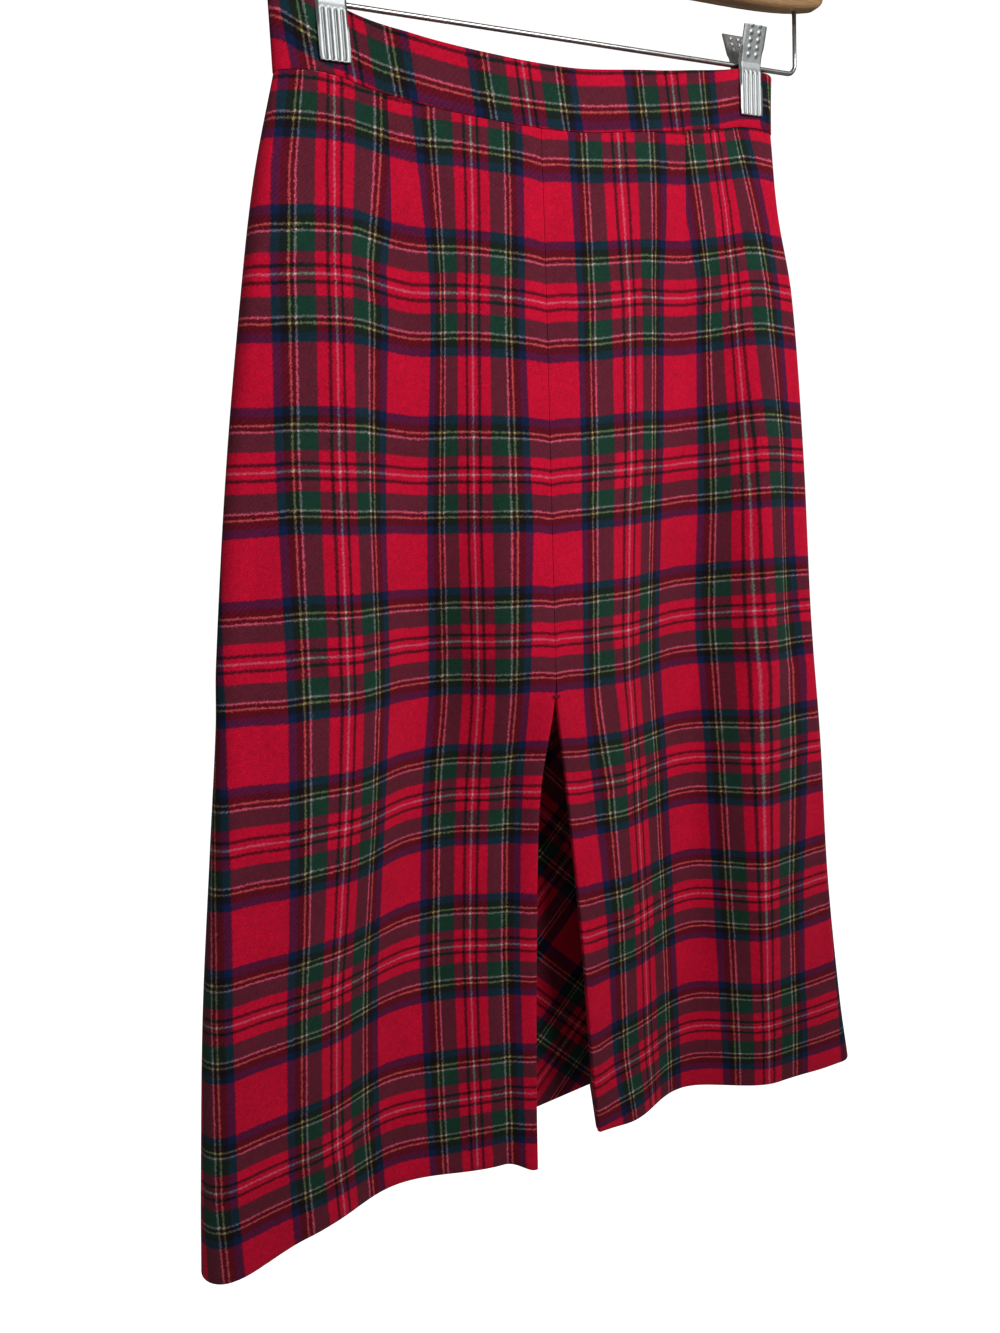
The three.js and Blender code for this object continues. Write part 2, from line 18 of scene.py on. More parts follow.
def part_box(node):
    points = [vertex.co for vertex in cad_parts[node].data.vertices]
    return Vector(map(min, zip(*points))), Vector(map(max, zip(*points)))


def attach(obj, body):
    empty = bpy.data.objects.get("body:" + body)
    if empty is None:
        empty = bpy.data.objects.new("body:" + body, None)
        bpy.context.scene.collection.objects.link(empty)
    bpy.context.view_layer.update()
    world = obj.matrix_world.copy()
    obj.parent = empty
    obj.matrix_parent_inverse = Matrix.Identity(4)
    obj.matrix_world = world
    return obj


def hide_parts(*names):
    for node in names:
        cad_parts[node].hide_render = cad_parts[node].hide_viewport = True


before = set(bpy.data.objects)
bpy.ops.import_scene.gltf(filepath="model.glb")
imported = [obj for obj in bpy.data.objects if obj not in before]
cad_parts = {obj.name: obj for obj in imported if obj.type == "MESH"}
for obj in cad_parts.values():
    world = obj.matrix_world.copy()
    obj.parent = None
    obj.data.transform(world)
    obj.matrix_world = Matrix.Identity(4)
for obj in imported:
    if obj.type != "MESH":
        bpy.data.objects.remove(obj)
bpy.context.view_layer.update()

# %% [markdown]
# ## The skirt's own sizes
#
# A pattern cutter describes a skirt by levels: how wide it is and how it curves at a stated drop below
# the waist. The same could be sculpted by hand, but a table keeps the left and right halves honest and
# lets the cloth meet its neighbours exactly. Each row holds, at one drop, the half width, the pleat's
# edge and the depth of a few stations from the centre to the side. All are millimetres.

# %% Tables of the skirt's form
MM = 0.001
CENTRE_X = -17
WAIST_Z = -187.5
SKIRT_DROP = 680
SEAM_GAP = 0.06
PLEAT_TOP = 347
RETURN_WIDTH = 56
LAYER = 3
TURN_TOP = 7
TURN_HEM = 16
SHOULDER = 22

FRONT_COLUMNS = ("half", "edge", "edgeY", "shoulderY", "valleyAt", "valleyY", "crestAt", "crestY", "sideY")
FRONT_LEFT = {
    0: (157, 0, -9.5, -9.5, 79, -8, 120, -3.6, -4.2),
    50: (171, 0, -10, -11.5, 81, -7, 133, -9, -8),
    100: (181, 0, -10, -11, 82, -3, 138, -11, -8),
    200: (197, 0, -9, -9, 81, 9, 140, -7, -2),
    312: (211, 0, -8, -8, 79, 23, 141, -2, 3),
    347: (214, 0, -7.5, -4, 79, 27, 143, -1, 1),
    418: (223, 8, 3, 14, 81, 32, 150, -1, -1),
    524: (236, 15, 2, 13, 90, 33, 167, 3, -3),
    630: (246, 20, 0, 9, 105, 26, 183, 3, -4),
    680: (250, 23, -4, 7, 114, 22, 185, 3, -5),
}
FRONT_RIGHT = {
    0: (180, 0, -9.5, -9.5, 101, -8, 155, -3.6, -4.2),
    50: (185, 0, -10, -11.5, 103, -7, 157, -9, -8),
    100: (198, 0, -10, -11, 110, -3, 160, -11, -8),
    200: (215, 0, -9, -9, 122, 10, 170, -8, -2),
    312: (229, 0, -8, -8, 132, 25, 179, -4, 4),
    347: (232, 0, -7.5, -4, 132, 27, 179, -5, 3),
    418: (240, 13, 5, 6, 131, 29, 178, -6, 2),
    524: (249, 21, 4, 6, 129, 27, 178, -8, 1),
    630: (259, 27, 4, 7, 123, 23, 182, -8, -6),
    680: (267, 32, 6, 5, 117, 24, 188, -6, -8),
}
BACK_COLUMNS = ("edgeY", "shoulderY", "valleyAt", "valleyY", "crestAt", "crestY", "sideY")
BACK = {
    0: (12, 11, 76, 8, 115, 3.6, 4.2),
    50: (16, 16, 92, 12, 145, 11, 9),
    100: (22, 21, 93, 16, 148, 17, 11),
    200: (33, 32, 96, 25, 154, 24, 15),
    312: (46, 45, 100, 37, 162, 33, 20),
    418: (58, 57, 104, 46, 170, 39, 23),
    524: (67, 66, 108, 54, 180, 42, 26),
    630: (73, 72, 112, 60, 188, 44, 28),
    680: (75, 74, 114, 62, 190, 45, 28),
}


def mix(a, b, share):
    return a + (b - a) * share


def clamp(value, low=0.0, high=1.0):
    return max(low, min(high, value))


def smooth(value):
    value = clamp(value)
    return value * value * (3 - 2 * value)


def table_row(table, drop, curved=True):
    """A table's values at any drop, on a smooth curve through its rows or on straight lines."""
    levels = sorted(table)
    last = len(levels) - 1
    k = 0
    while k < last - 1 and levels[k + 1] < drop:
        k += 1
    here, after = levels[k], levels[k + 1]
    span = after - here
    t = clamp((drop - here) / span)
    if not curved:
        return [mix(a, b, t) for a, b in zip(table[here], table[after])]
    first, final = levels[max(k - 1, 0)], levels[min(k + 2, last)]
    values = []
    for p, a, b, q in zip(table[first], table[here], table[after], table[final]):
        slope_here = (b - p) / max(after - first, 1) * span
        slope_after = (q - a) / max(final - here, 1) * span
        values.append((2 * t**3 - 3 * t * t + 1) * a + (t**3 - 2 * t * t + t) * slope_here
                      + (3 * t * t - 2 * t**3) * b + (t**3 - t * t) * slope_after)
    return values


SEAM_LOW, SEAM_RISE, SAG_SPAN = -5, 14, 135
END_DROOP, DROOP_FROM = 0.12, 148
HANG_TILT = 0.024
RIGHT_LIFT, LEFT_LIFT, LEFT_LIFT_FROM, LIFT_SPAN = 2.8, 6, 105, 60


def seam_height(x):
    """The waist seam sags between the clips, droops outside them and follows the hanger's tilt."""
    sag = SEAM_LOW + SEAM_RISE * min(1, abs(x) / SAG_SPAN) ** 2
    droop = END_DROOP * max(0, abs(x) - DROOP_FROM)
    lift = RIGHT_LIFT * smooth(x / LIFT_SPAN) + LEFT_LIFT * smooth((-LEFT_LIFT_FROM - x) / LIFT_SPAN)
    return sag - droop + HANG_TILT * x + lift


def level_at(x, drop):
    return WAIST_Z + mix(seam_height(x), -SKIRT_DROP, drop / SKIRT_DROP)


@functools.lru_cache(maxsize=None)
def section(side, facing, drop):
    """One half of the skirt at one drop. side is -1 left or 1 right, facing -1 front or 1 back."""
    front = dict(zip(FRONT_COLUMNS, table_row(FRONT_LEFT if side < 0 else FRONT_RIGHT, drop)))
    back = dict(zip(BACK_COLUMNS, table_row(BACK, drop)))
    front["edge"] = max(front["edge"], 0) if drop > PLEAT_TOP else 0
    row = front if facing < 0 else {**back, "half": front["half"], "edge": 0}
    row["turn"] = mix(TURN_TOP, TURN_HEM, drop / SKIRT_DROP)
    row["start"] = max(row["edge"], SEAM_GAP)
    row["end"] = row["half"] - row["turn"]
    row["middle"] = (front["sideY"] + back["sideY"]) / 2
    row["reach"] = abs(row["sideY"] - row["middle"]) - SEAM_GAP
    return row


def depth_at(row, distance):
    """Y of the cloth's right side at a distance from the centre line."""
    stations = [
        (row["edge"], row["edgeY"]),
        (row["edge"] + SHOULDER, row["shoulderY"]),
        (row["valleyAt"], row["valleyY"]),
        (row["crestAt"], row["crestY"]),
        (row["end"], row["sideY"]),
    ]
    k = 0
    while k < len(stations) - 2 and stations[k + 1][0] < distance:
        k += 1
    (from_at, from_y), (to_at, to_y) = stations[k], stations[k + 1]
    t = clamp((distance - from_at) / (to_at - from_at))
    return mix(from_y, to_y, (1 - math.cos(math.pi * t)) / 2)


hem = section(-1, -1, SKIRT_DROP)
print("left half at the hem:", round(hem["half"]), "mm wide, pleat edge", round(hem["edge"]), "mm out")

# %% [markdown]
# ## Creases one by one
#
# Wool that has hung for a while keeps soft troughs and ridges. Noise would spread them evenly, which
# reads as crumpled paper, so each one is placed: where it starts from the centre, its drop, how far it
# leans, how long and how wide it is, and how deep. A positive depth is a trough.

# %% Listed creases
# distance, drop, lean, length, width, depth
CREASES = {
    (-1, -1): [
        (28, 150, 10, 230, 16, 1.1), (62, 90, -14, 150, 12, 0.9), (120, 120, 16, 170, 13, -1.3),
        (150, 210, 20, 220, 15, 1.6), (104, 330, -10, 260, 20, -1.4), (176, 400, 14, 300, 18, -1.8),
        (60, 470, 10, 260, 18, 1.2), (140, 560, -16, 240, 22, 1.6), (206, 560, 12, 220, 14, 1.3),
        (40, 600, 4, 170, 12, -1.0), (92, 30, -6, 70, 9, -0.6), (190, 300, 8, 120, 10, 0.9),
    ],
    (1, -1): [
        (34, 130, -8, 200, 15, 1.0), (80, 200, 12, 260, 18, -1.2), (136, 110, -14, 150, 12, 1.1),
        (168, 190, 16, 220, 13, -1.6), (110, 360, 10, 240, 20, 1.4), (196, 420, -10, 280, 16, 1.7),
        (66, 500, 12, 260, 16, -1.2), (150, 570, -12, 230, 20, -1.7), (222, 560, 10, 220, 14, -1.2),
        (48, 610, -4, 150, 12, 0.9), (100, 36, 6, 80, 9, 0.6), (206, 300, 6, 130, 11, 1.0),
    ],
    (-1, 1): [
        (40, 180, 8, 260, 16, 1.1), (84, 260, -12, 300, 18, -1.4), (130, 160, 10, 220, 14, 1.3),
        (160, 360, 12, 300, 17, -1.7), (60, 480, 6, 300, 20, 1.5), (120, 560, -14, 240, 20, 1.6),
        (196, 540, 8, 240, 14, -1.2),
    ],
    (1, 1): [
        (30, 240, -8, 300, 16, -1.1), (74, 160, 10, 220, 15, 1.2), (124, 300, -12, 280, 18, 1.5),
        (170, 240, 12, 240, 14, -1.5), (50, 520, 8, 280, 19, -1.4), (140, 560, 12, 250, 21, 1.7),
        (214, 520, -8, 240, 14, 1.2),
    ],
}


def crease_depth(side, facing, drop, distance):
    total = 0.0
    for at, level, lean, length, width, deep in CREASES[(side, facing)]:
        along = (drop - level) / length
        if abs(along) < 1:
            across = (distance - at - lean * along) / width
            total += deep * (1 - along * along) ** 2 * math.exp(-across * across)
    return total


print("creases:", sum(len(c) for c in CREASES.values()))

# %% [markdown]
# ## Where the pattern lies on the cloth
#
# Tartan is woven before the skirt is cut, so its lines show how the cloth runs. A projected pattern
# would slide over the folds. Here every point of cloth keeps its own place in the weave as a UV: across
# the cloth from the centre line, and down it from the waist. The grain table says where three pale
# lines run at each drop, and the drift tables correct what is left. A dart folds a wedge of cloth away,
# so the pattern jumps across it.

# %% Grain and darts
REPEAT_ACROSS, REPEAT_DOWN = 103, 106
PALE_LINE = 51.5
GRAIN = {
    -1: {0: (46.5, 124, 144), 50: (47, 129.6, 153.5), 100: (48, 133.6, 157.8), 200: (48, 136.3, 161.1),
         312: (48, 137, 162.6), 347: (48, 137.5, 163.9), 418: (51, 144.3, 169.1),
         524: (58.2, 154.8, 177.7), 630: (62.2, 159.7, 183.8), 680: (64, 158, 183.6)},
    1: {0: (53, 133.5, 153), 50: (55.8, 142.5, 163), 100: (59.7, 148.6, 173), 200: (62.6, 157.6, 184.4),
        312: (60.7, 163.7, 187.7), 347: (63.2, 164.3, 187.7), 418: (73.2, 166.4, 190.9),
        524: (77.2, 169.9, 192.2), 630: (78.7, 175.1, 198), 680: (83, 178, 200)},
}
THIRD_LINE = {-1: 179.6, 1: 176.3}
DARTS = {
    (-1, -1): {0: (95,), 50: (96.2,), 92: (97,), SKIRT_DROP: (97,)},
    (1, -1): {0: (105.6,), 50: (106.6,), 92: (108,), SKIRT_DROP: (108,)},
    (-1, 1): {0: (88,), 110: (92,), SKIRT_DROP: (110,)},
    (1, 1): {0: (90,), 110: (94,), SKIRT_DROP: (112,)},
}
DART_LENGTH = {-1: 92, 1: 110}
DART_INTAKE = {-1: 26, 1: 22}
BACK_GRAIN_START = 5


# Hung cloth creeps off its grain, mostly by a few millimetres and by up to 20 near the right edge. Both
# drift tables were measured patch by patch and not judged by eye. Stations run from left to right.
DRIFT_AT = (-210, -170, -130, -90, -50, -10, 0, 30, 70, 110, 150, 190, 225)
DRIFT_ACROSS = {
    0: (1.5, 1, 0.4, -0, -0.5, 1, 0.5, 0.5, -1.4, 0.7, 7.3, 6.1, 1),
    120: (2.1, 1, -1.7, -7, 0.9, 1.7, 2.8, 4.8, -2.4, 2.5, 5.8, 2.7, -0.5),
    240: (1.8, 1.2, -0.8, -1.5, 1.8, -1.9, 0.4, 7.6, -1.7, -0.6, -0.6, -4.3, -7.9),
    360: (2.5, 0.7, -0.6, -1.4, -0.4, 1.1, 3.1, 8.3, -1.8, -2.9, -1.1, -11.3, -20),
    480: (0.3, -0.4, -1.1, -1.8, -0.9, 0.1, 1.9, 3, -0.8, -1.2, 0.1, -7.5, -15),
    600: (0.3, 1.5, -0.3, -1.3, -0.4, 0, 0, -1.4, -1.1, -1, 0.1, -2.5, -4.1),
    680: (0.3, 0.5, -0.4, -0.8, -0.4, -0.5, -0.7, -4.4, -1.9, -1, -0.4, -1.7, -3.9),
}
DRIFT_DOWN = {
    0: (0.2, -4.8, -5.8, -3.2, 0.3, 1.5, 1.4, 0.5, -0.8, -3.1, -2.4, -1.9, -1),
    120: (2.4, -3.3, -5.2, -2.7, 1.2, 1.1, 1, 0.5, 1.6, -0.6, -1.3, -0.2, -0.8),
    240: (1.2, -0.6, -5.1, -0.7, 1, 1.9, 1.6, 1, -0.9, -1.5, -3.9, -1.1, -0.7),
    360: (0.7, -2.8, -5.1, -0.3, 3.1, 5.1, 4.9, 1.6, -2, -2.9, -5.5, -4.5, -2.4),
    480: (-0.5, -1.2, -2.3, 1.2, 4.4, 3.5, 2.6, 0, -2.1, -3.2, -4.8, -4.5, -3.4),
    600: (1.6, 2.4, 1.7, 0, 3, 1.4, -1, -5.9, -1.8, -0.9, -0.9, -0.6, -0.4),
    680: (1.5, 2.6, -0.2, -0.7, 2, -0.8, -4.5, -11, -5.4, -1.6, -0.4, -0.4, 0),
}


def drift(table, place, drop):
    """A drift table's value at a place, left of the centre line below zero."""
    row = table_row(table, drop, curved=False)
    k = 0
    while k < len(row) - 2 and DRIFT_AT[k + 1] < place:
        k += 1
    return mix(row[k], row[k + 1], smooth((place - DRIFT_AT[k]) / (DRIFT_AT[k + 1] - DRIFT_AT[k])))


def dart_at(side, facing, drop):
    return table_row(DARTS[(side, facing)], drop, curved=False)[0]


def dart_taken(facing, drop):
    return DART_INTAKE[facing] * (1 - clamp(drop / DART_LENGTH[facing]) ** 1.6)


@functools.lru_cache(maxsize=None)
def arc_lengths(side, facing, drop):
    """Lengths along the curved cloth from the centre edge, at even distances."""
    row = section(side, facing, drop)
    count = 100
    lengths, last = [0.0], None
    for k in range(count + 1):
        point = Vector((mix(row["start"], row["end"], k / count), 0))
        point.y = depth_at(row, point.x)
        if last is not None:
            lengths.append(lengths[-1] + (point - last).length)
        last = point
    return lengths


def arc_at(side, facing, drop, distance):
    row = section(side, facing, drop)
    lengths = arc_lengths(side, facing, drop)
    place = clamp((distance - row["start"]) / (row["end"] - row["start"])) * (len(lengths) - 1)
    k = min(int(place), len(lengths) - 2)
    return mix(lengths[k], lengths[k + 1], place - k)


def across_cloth(side, facing, drop, distance, past_dart):
    """How far across the woven cloth a point is, from the middle of the red block at the centre."""
    arc = arc_at(side, facing, drop, distance)
    taken = dart_taken(facing, drop)
    if facing > 0:
        return BACK_GRAIN_START + arc + (taken if past_dart else 0)
    first, second, third = (arc_at(side, facing, drop, d) for d in table_row(GRAIN[side], drop, curved=False))
    if arc <= first:
        return PALE_LINE - (first - arc)
    if arc <= second:
        rate = (REPEAT_ACROSS - taken) / (second - first)
        return PALE_LINE + (arc - first) * rate + (taken if past_dart else 0)
    if arc <= third:
        second_line = PALE_LINE + REPEAT_ACROSS
        return second_line + (arc - second) * (THIRD_LINE[side] - second_line) / (third - second)
    return THIRD_LINE[side] + arc - third


print("cloth across the left front at the hem:", round(across_cloth(-1, -1, 680, 234, True)), "mm")

# %% [markdown]
# ## A sheet maker
#
# A piece of cloth starts as a flat grid. Each vertex of the grid is then carried to its place on the
# body, its UV is set from the woven cloth, and a Solidify modifier gives the wall. Extruding the solids'
# own faces would copy their coarse facets, and a cloth simulation would lose the cut. The wall follows a
# vertex weight, so that a turned-up hem can be two layers thick.

# %% Sheet maker
WALL = 0.0022
SINGLE_LAYER = 0.5


def cloth_sheet(name, columns, rows, place, cut, outward, sample, layers=None, wall=WALL):
    """place(i, t) gives metres, cut(i, t, face_i) the woven place in metres. i counts columns."""
    mesh = bpy.data.meshes.new(name)
    bm = bmesh.new()
    bmesh.ops.create_grid(bm, x_segments=columns, y_segments=rows, size=0.5)
    weave = bm.loops.layers.uv.new("cut")
    weights = bm.verts.layers.deform.verify()
    home = {v: (round((v.co.x + 0.5) * columns), 0.5 - v.co.y) for v in bm.verts}
    for face in bm.faces:
        middle = sum(home[v][0] for v in face.verts) / 4
        for loop in face.loops:
            loop[weave].uv = cut(*home[loop.vert], middle)
    for vert in bm.verts:
        i, t = home[vert]
        vert.co = place(i, t)
        vert[weights][0] = layers(i, t) if layers else SINGLE_LAYER
    bm.normal_update()
    near = min(bm.faces, key=lambda f: abs(sum(home[v][0] for v in f.verts) / 4 - sample * columns)
               + abs(sum(home[v][1] for v in f.verts) / 4 - 0.5) * columns)
    if near.normal.dot(Vector(outward)) < 0:
        bmesh.ops.reverse_faces(bm, faces=bm.faces)
    area = sum(f.calc_area() for f in bm.faces)
    bm.to_mesh(mesh)
    bm.free()
    mesh.shade_smooth()
    sheet = bpy.data.objects.new(name, mesh)
    bpy.context.scene.collection.objects.link(sheet)
    sheet.vertex_groups.new(name="wall")
    body = sheet.modifiers.new("wall", "SOLIDIFY")
    body.thickness = wall
    body.offset = -1
    body.vertex_group = "wall"
    sheet.modifiers.new("even shading", "WEIGHTED_NORMAL")
    sheet["area"] = area
    return sheet


# %% [markdown]
# ## The four halves
#
# Each half runs from its hidden edge at the centre, round the fold, over the dart to the side seam, where
# it turns back to meet its neighbour. Above the pleat the hidden part is a seam allowance. Below it the
# allowance widens into the pleat's return, so the two fold edges swing apart and show the strip behind.

# %% Plan of a half
RETURN, FOLD, INNER, OUTER, TURN = 9, 6, 36, 36, 10
TO_FOLD = RETURN
TO_FACE = TO_FOLD + FOLD
TO_DART = TO_FACE + INNER
TO_TURN = TO_DART + OUTER
COLUMNS = TO_TURN + TURN
ROWS = 136
ALLOWANCE = 12
PLEAT_OPENS = 335
HEM_FROM = 652
DART_DITCH = 0.7
SEAM_DIP, FOLD_DIP, DIP_WIDTH = 2.5, 0.8, 13


def return_depth(row, distance):
    """The pleat's hidden layer slants back from the fold as the pleat opens."""
    opened = math.sqrt(max(0, RETURN_WIDTH**2 - (RETURN_WIDTH - row["edge"]) ** 2))
    slack = max(0, row["edgeY"] + opened - depth_at(row, RETURN_WIDTH))
    share = clamp((distance - row["edge"]) / (RETURN_WIDTH - row["edge"]))
    return depth_at(row, distance) + LAYER + slack * share


def half_point(side, facing, i, drop, face_i=None):
    """Distance from the centre, depth, and place across the cloth, of one point of a half."""
    row = section(side, facing, drop)
    opened = clamp((drop - PLEAT_OPENS) / (PLEAT_TOP - PLEAT_OPENS)) if facing < 0 else 0
    fold_x, fold_y = mix(0.2, 1.2, opened), mix(1.15, 2.1, opened)
    fold_length = math.pi * math.hypot(fold_x, fold_y) / math.sqrt(2)
    start, end = row["start"], row["end"]
    dart = dart_at(side, facing, drop)
    past_dart = (i if face_i is None else face_i) > TO_DART

    def woven(distance):
        return across_cloth(side, facing, drop, distance, past_dart)

    if i <= TO_FOLD:
        distance = mix(start + fold_x, mix(start + ALLOWANCE, RETURN_WIDTH, opened), 1 - i / RETURN)
        y = depth_at(row, distance) - facing * 2 * fold_y
        if opened:
            y = mix(y, return_depth(row, distance) + 1.2, opened)
        return distance, y, woven(start) - fold_length - (distance - start - fold_x)
    if i <= TO_FACE:
        angle = math.pi * (1 - (i - TO_FOLD) / FOLD)
        y = depth_at(row, start + fold_x) - facing * fold_y * (1 - math.cos(angle))
        return start + fold_x * (1 - math.sin(angle)), y, woven(start) - fold_length * angle / math.pi
    if i <= TO_TURN:
        if i <= TO_DART:
            distance = mix(start + fold_x, dart, (i - TO_FACE) / INNER)
        else:
            distance = mix(dart, end, (i - TO_DART) / OUTER)
        edge_share = clamp(min(distance - start, end - distance) / 12)
        dent = crease_depth(side, facing, drop, distance) * edge_share * smooth(drop / 40)
        if i == TO_DART:
            dent += DART_DITCH * smooth((DART_LENGTH[facing] - drop) / 20)
        return distance, depth_at(row, distance) - facing * dent, woven(distance)
    angle = math.pi / 2 * (i - TO_TURN) / TURN
    y = row["middle"] + facing * (SEAM_GAP + row["reach"] * math.cos(angle))
    length = angle * math.hypot(row["turn"], row["reach"]) / math.sqrt(2)
    return end + row["turn"] * math.sin(angle), y, woven(end) + length


SIDE_SAG, SIDE_SAG_ACROSS, SIDE_SAG_FROM = 7.5, 165, 480
CORNER_SAG, CORNER_SAG_FROM, CORNER_WIDTH = 4.5, 560, 9


def hem_sag(side, facing, distance, drop):
    """The hem hangs lower by the left side seam and at the corner of the left fold."""
    if side > 0:
        return 0.0
    side_share = smooth((drop - SIDE_SAG_FROM) / (SKIRT_DROP - SIDE_SAG_FROM))
    at_side = SIDE_SAG * smooth((distance - SIDE_SAG_ACROSS) / 65) * side_share
    if facing > 0:
        return at_side
    from_fold = (distance - section(side, facing, drop)["edge"] - 3) / CORNER_WIDTH
    corner_share = smooth((drop - CORNER_SAG_FROM) / (SKIRT_DROP - CORNER_SAG_FROM))
    return at_side + CORNER_SAG * corner_share * math.exp(-from_fold * from_fold)


def half_piece(name, side, facing):
    def drop_of(t):
        return mix(0.3, SKIRT_DROP, t)

    def place(i, t):
        distance, y, _ = half_point(side, facing, i, drop_of(t))
        x = CENTRE_X + side * distance
        sag = hem_sag(side, facing, distance, drop_of(t))
        return Vector((x, y, level_at(x, drop_of(t)) - sag)) * MM

    def cut(i, t, face_i):
        drop = drop_of(t)
        distance, _, woven = half_point(side, facing, i, drop, face_i)
        dip = SEAM_DIP if drop < PLEAT_TOP else FOLD_DIP
        down = drop - dip * math.exp(-max(distance, 0) / DIP_WIDTH) + hem_sag(side, facing, distance, drop)
        if facing < 0:
            spot = side * max(distance, 0.2)
            woven += side * drift(DRIFT_ACROSS, spot, drop)
            down += drift(DRIFT_DOWN, spot, drop)
        return woven * MM * side, down * MM

    def layers(i, t):
        return mix(SINGLE_LAYER, 1, smooth((drop_of(t) - HEM_FROM) / 5))

    sheet = cloth_sheet(name, COLUMNS, ROWS, place, cut, (0, facing, 0), (TO_DART + 15) / COLUMNS, layers)
    print(name, "cloth", round(sheet["area"], 4), "m2")
    return sheet


# %% Cut the halves
front_left = half_piece("front_left_cloth", -1, -1)
front_right = half_piece("front_right_cloth", 1, -1)
back_left = half_piece("back_left_cloth", -1, 1)
back_right = half_piece("back_right_cloth", 1, 1)

# %% [markdown]
# ## The strip behind the pleat
#
# The underlay closes the pleat from behind. It is cut on the bias, so its lines run slantwise. It could
# be one piece with the returns, but it is a separate strip on this skirt, and it takes its own turned
# UV. Its face lies one layer behind the returns.

# %% Underlay
UNDERLAY_COLUMNS, UNDERLAY_ROWS = 40, 68
PLEAT_FLAT_AT = 14
UNDERLAY_HALF = 60
BIAS = math.radians(45)
BIAS_SHIFT = -12.0


def underlay_depth(distance, drop):
    left, right = section(-1, -1, drop), section(1, -1, drop)
    left_end = return_depth(left, RETURN_WIDTH) + LAYER
    right_end = return_depth(right, RETURN_WIDTH) + LAYER
    opened = clamp((left["edge"] + right["edge"]) / PLEAT_FLAT_AT)
    behind = return_depth(left if distance < 0 else right, abs(distance)) + LAYER
    flat = mix(left_end, right_end, (distance / RETURN_WIDTH + 1) / 2)
    return mix(behind, max(flat, behind), opened)


def underlay_place(i, t):
    drop = mix(PLEAT_OPENS, SKIRT_DROP, t)
    distance = mix(-UNDERLAY_HALF, UNDERLAY_HALF, i / UNDERLAY_COLUMNS)
    x = CENTRE_X + distance
    return Vector((x, underlay_depth(distance, drop), level_at(x, drop))) * MM


def underlay_cut(i, t, _):
    across = mix(-UNDERLAY_HALF, UNDERLAY_HALF, i / UNDERLAY_COLUMNS) + BIAS_SHIFT
    down = mix(PLEAT_OPENS, SKIRT_DROP, t)
    return ((across * math.cos(BIAS) + down * math.sin(BIAS)) * MM,
            (down * math.cos(BIAS) - across * math.sin(BIAS)) * MM)


underlay = cloth_sheet("pleat_underlay_cloth", UNDERLAY_COLUMNS, UNDERLAY_ROWS, underlay_place,
                       underlay_cut, (0, -1, 0), 0.5)
print("underlay cloth", round(underlay["area"], 4), "m2")

# %% [markdown]
# ## The waistband
#
# The band is one strip folded along its top edge, so its section is a narrow upside-down U. It runs from
# the centre back round the right side and the front, and its end laps over its start. A grid whose
# columns follow the waist and whose rows follow the section makes it in one piece, with a soft top fold.

# %% Waistband
BAND_HEIGHT = 35
BAND_THICK = 3
BAND_PROUD = 0.5
BAND_CLOTH = 0.0011
LAP_LENGTH, LAP_RAMP, LAP_CLEAR = 28, 22, 4
TOP_FOLD = BAND_THICK / 2
FACE_ROWS, FOLD_ROWS = 14, 6
BAND_ROWS = 2 * FACE_ROWS + FOLD_ROWS


def quarter(side, facing, flat_columns=44, turn_columns=8):
    """Plan of one quarter of the waist, from the centre to the side seam."""
    row = section(side, facing, 0)
    points = []
    for k in range(flat_columns + 1):
        distance = mix(row["start"], row["end"], k / flat_columns)
        points.append(Vector((CENTRE_X + side * distance, depth_at(row, distance))))
    for k in range(1, turn_columns + 1):
        angle = math.pi / 2 * k / turn_columns
        points.append(Vector((CENTRE_X + side * (row["end"] + row["turn"] * math.sin(angle)),
                              row["middle"] + facing * (SEAM_GAP + row["reach"] * math.cos(angle)))))
    return points


def beside(line, k):
    """Unit vector to the right hand of a plan line, which is inwards on the waist."""
    along = (line[min(k + 1, len(line) - 1)] - line[max(k - 1, 0)]).normalized()
    return Vector((along.y, -along.x))


def back_waist(x):
    row = section(-1 if x < CENTRE_X else 1, 1, 0)
    return depth_at(row, abs(x - CENTRE_X))


def waist_plan():
    ring = (quarter(1, 1) + quarter(1, -1)[::-1] + quarter(-1, -1)[1:] + quarter(-1, 1)[::-1])
    lap_start = CENTRE_X - LAP_RAMP
    ring = [p for k, p in enumerate(ring)
            if k < len(ring) / 2 or p.y < 0 or p.x < lap_start - LAP_CLEAR]
    plan = [p - beside(ring, k) * BAND_PROUD for k, p in enumerate(ring)]
    for k in range(25):
        x = mix(lap_start, CENTRE_X + LAP_LENGTH, k / 24)
        rise = smooth((x - lap_start) / LAP_RAMP)
        plan.append(Vector((x, back_waist(x) + BAND_PROUD + rise * (BAND_THICK + 0.6))))
    return plan


WAIST_PLAN = waist_plan()
WAIST_ARC = [0.0]
for before, after in zip(WAIST_PLAN, WAIST_PLAN[1:]):
    WAIST_ARC.append(WAIST_ARC[-1] + (after - before).length)
CENTRE_FRONT_ARC = min(zip(WAIST_PLAN, WAIST_ARC), key=lambda p: abs(p[0].x - CENTRE_X) + 9 * (p[0].y > 0))[1]


def band_section(t):
    """How far in from the outer face, the height, and the length along the cloth from its lower edge."""
    row = t * BAND_ROWS
    straight = BAND_HEIGHT - TOP_FOLD
    if row <= FACE_ROWS:
        return 0.0, straight * row / FACE_ROWS, straight * row / FACE_ROWS
    if row <= FACE_ROWS + FOLD_ROWS:
        angle = math.pi * (row - FACE_ROWS) / FOLD_ROWS
        inwards = TOP_FOLD * (1 - math.cos(angle))
        return inwards, straight + TOP_FOLD * math.sin(angle), straight + TOP_FOLD * angle
    down = straight * (row - FACE_ROWS - FOLD_ROWS) / FACE_ROWS
    return BAND_THICK, straight - down, straight + TOP_FOLD * math.pi + down


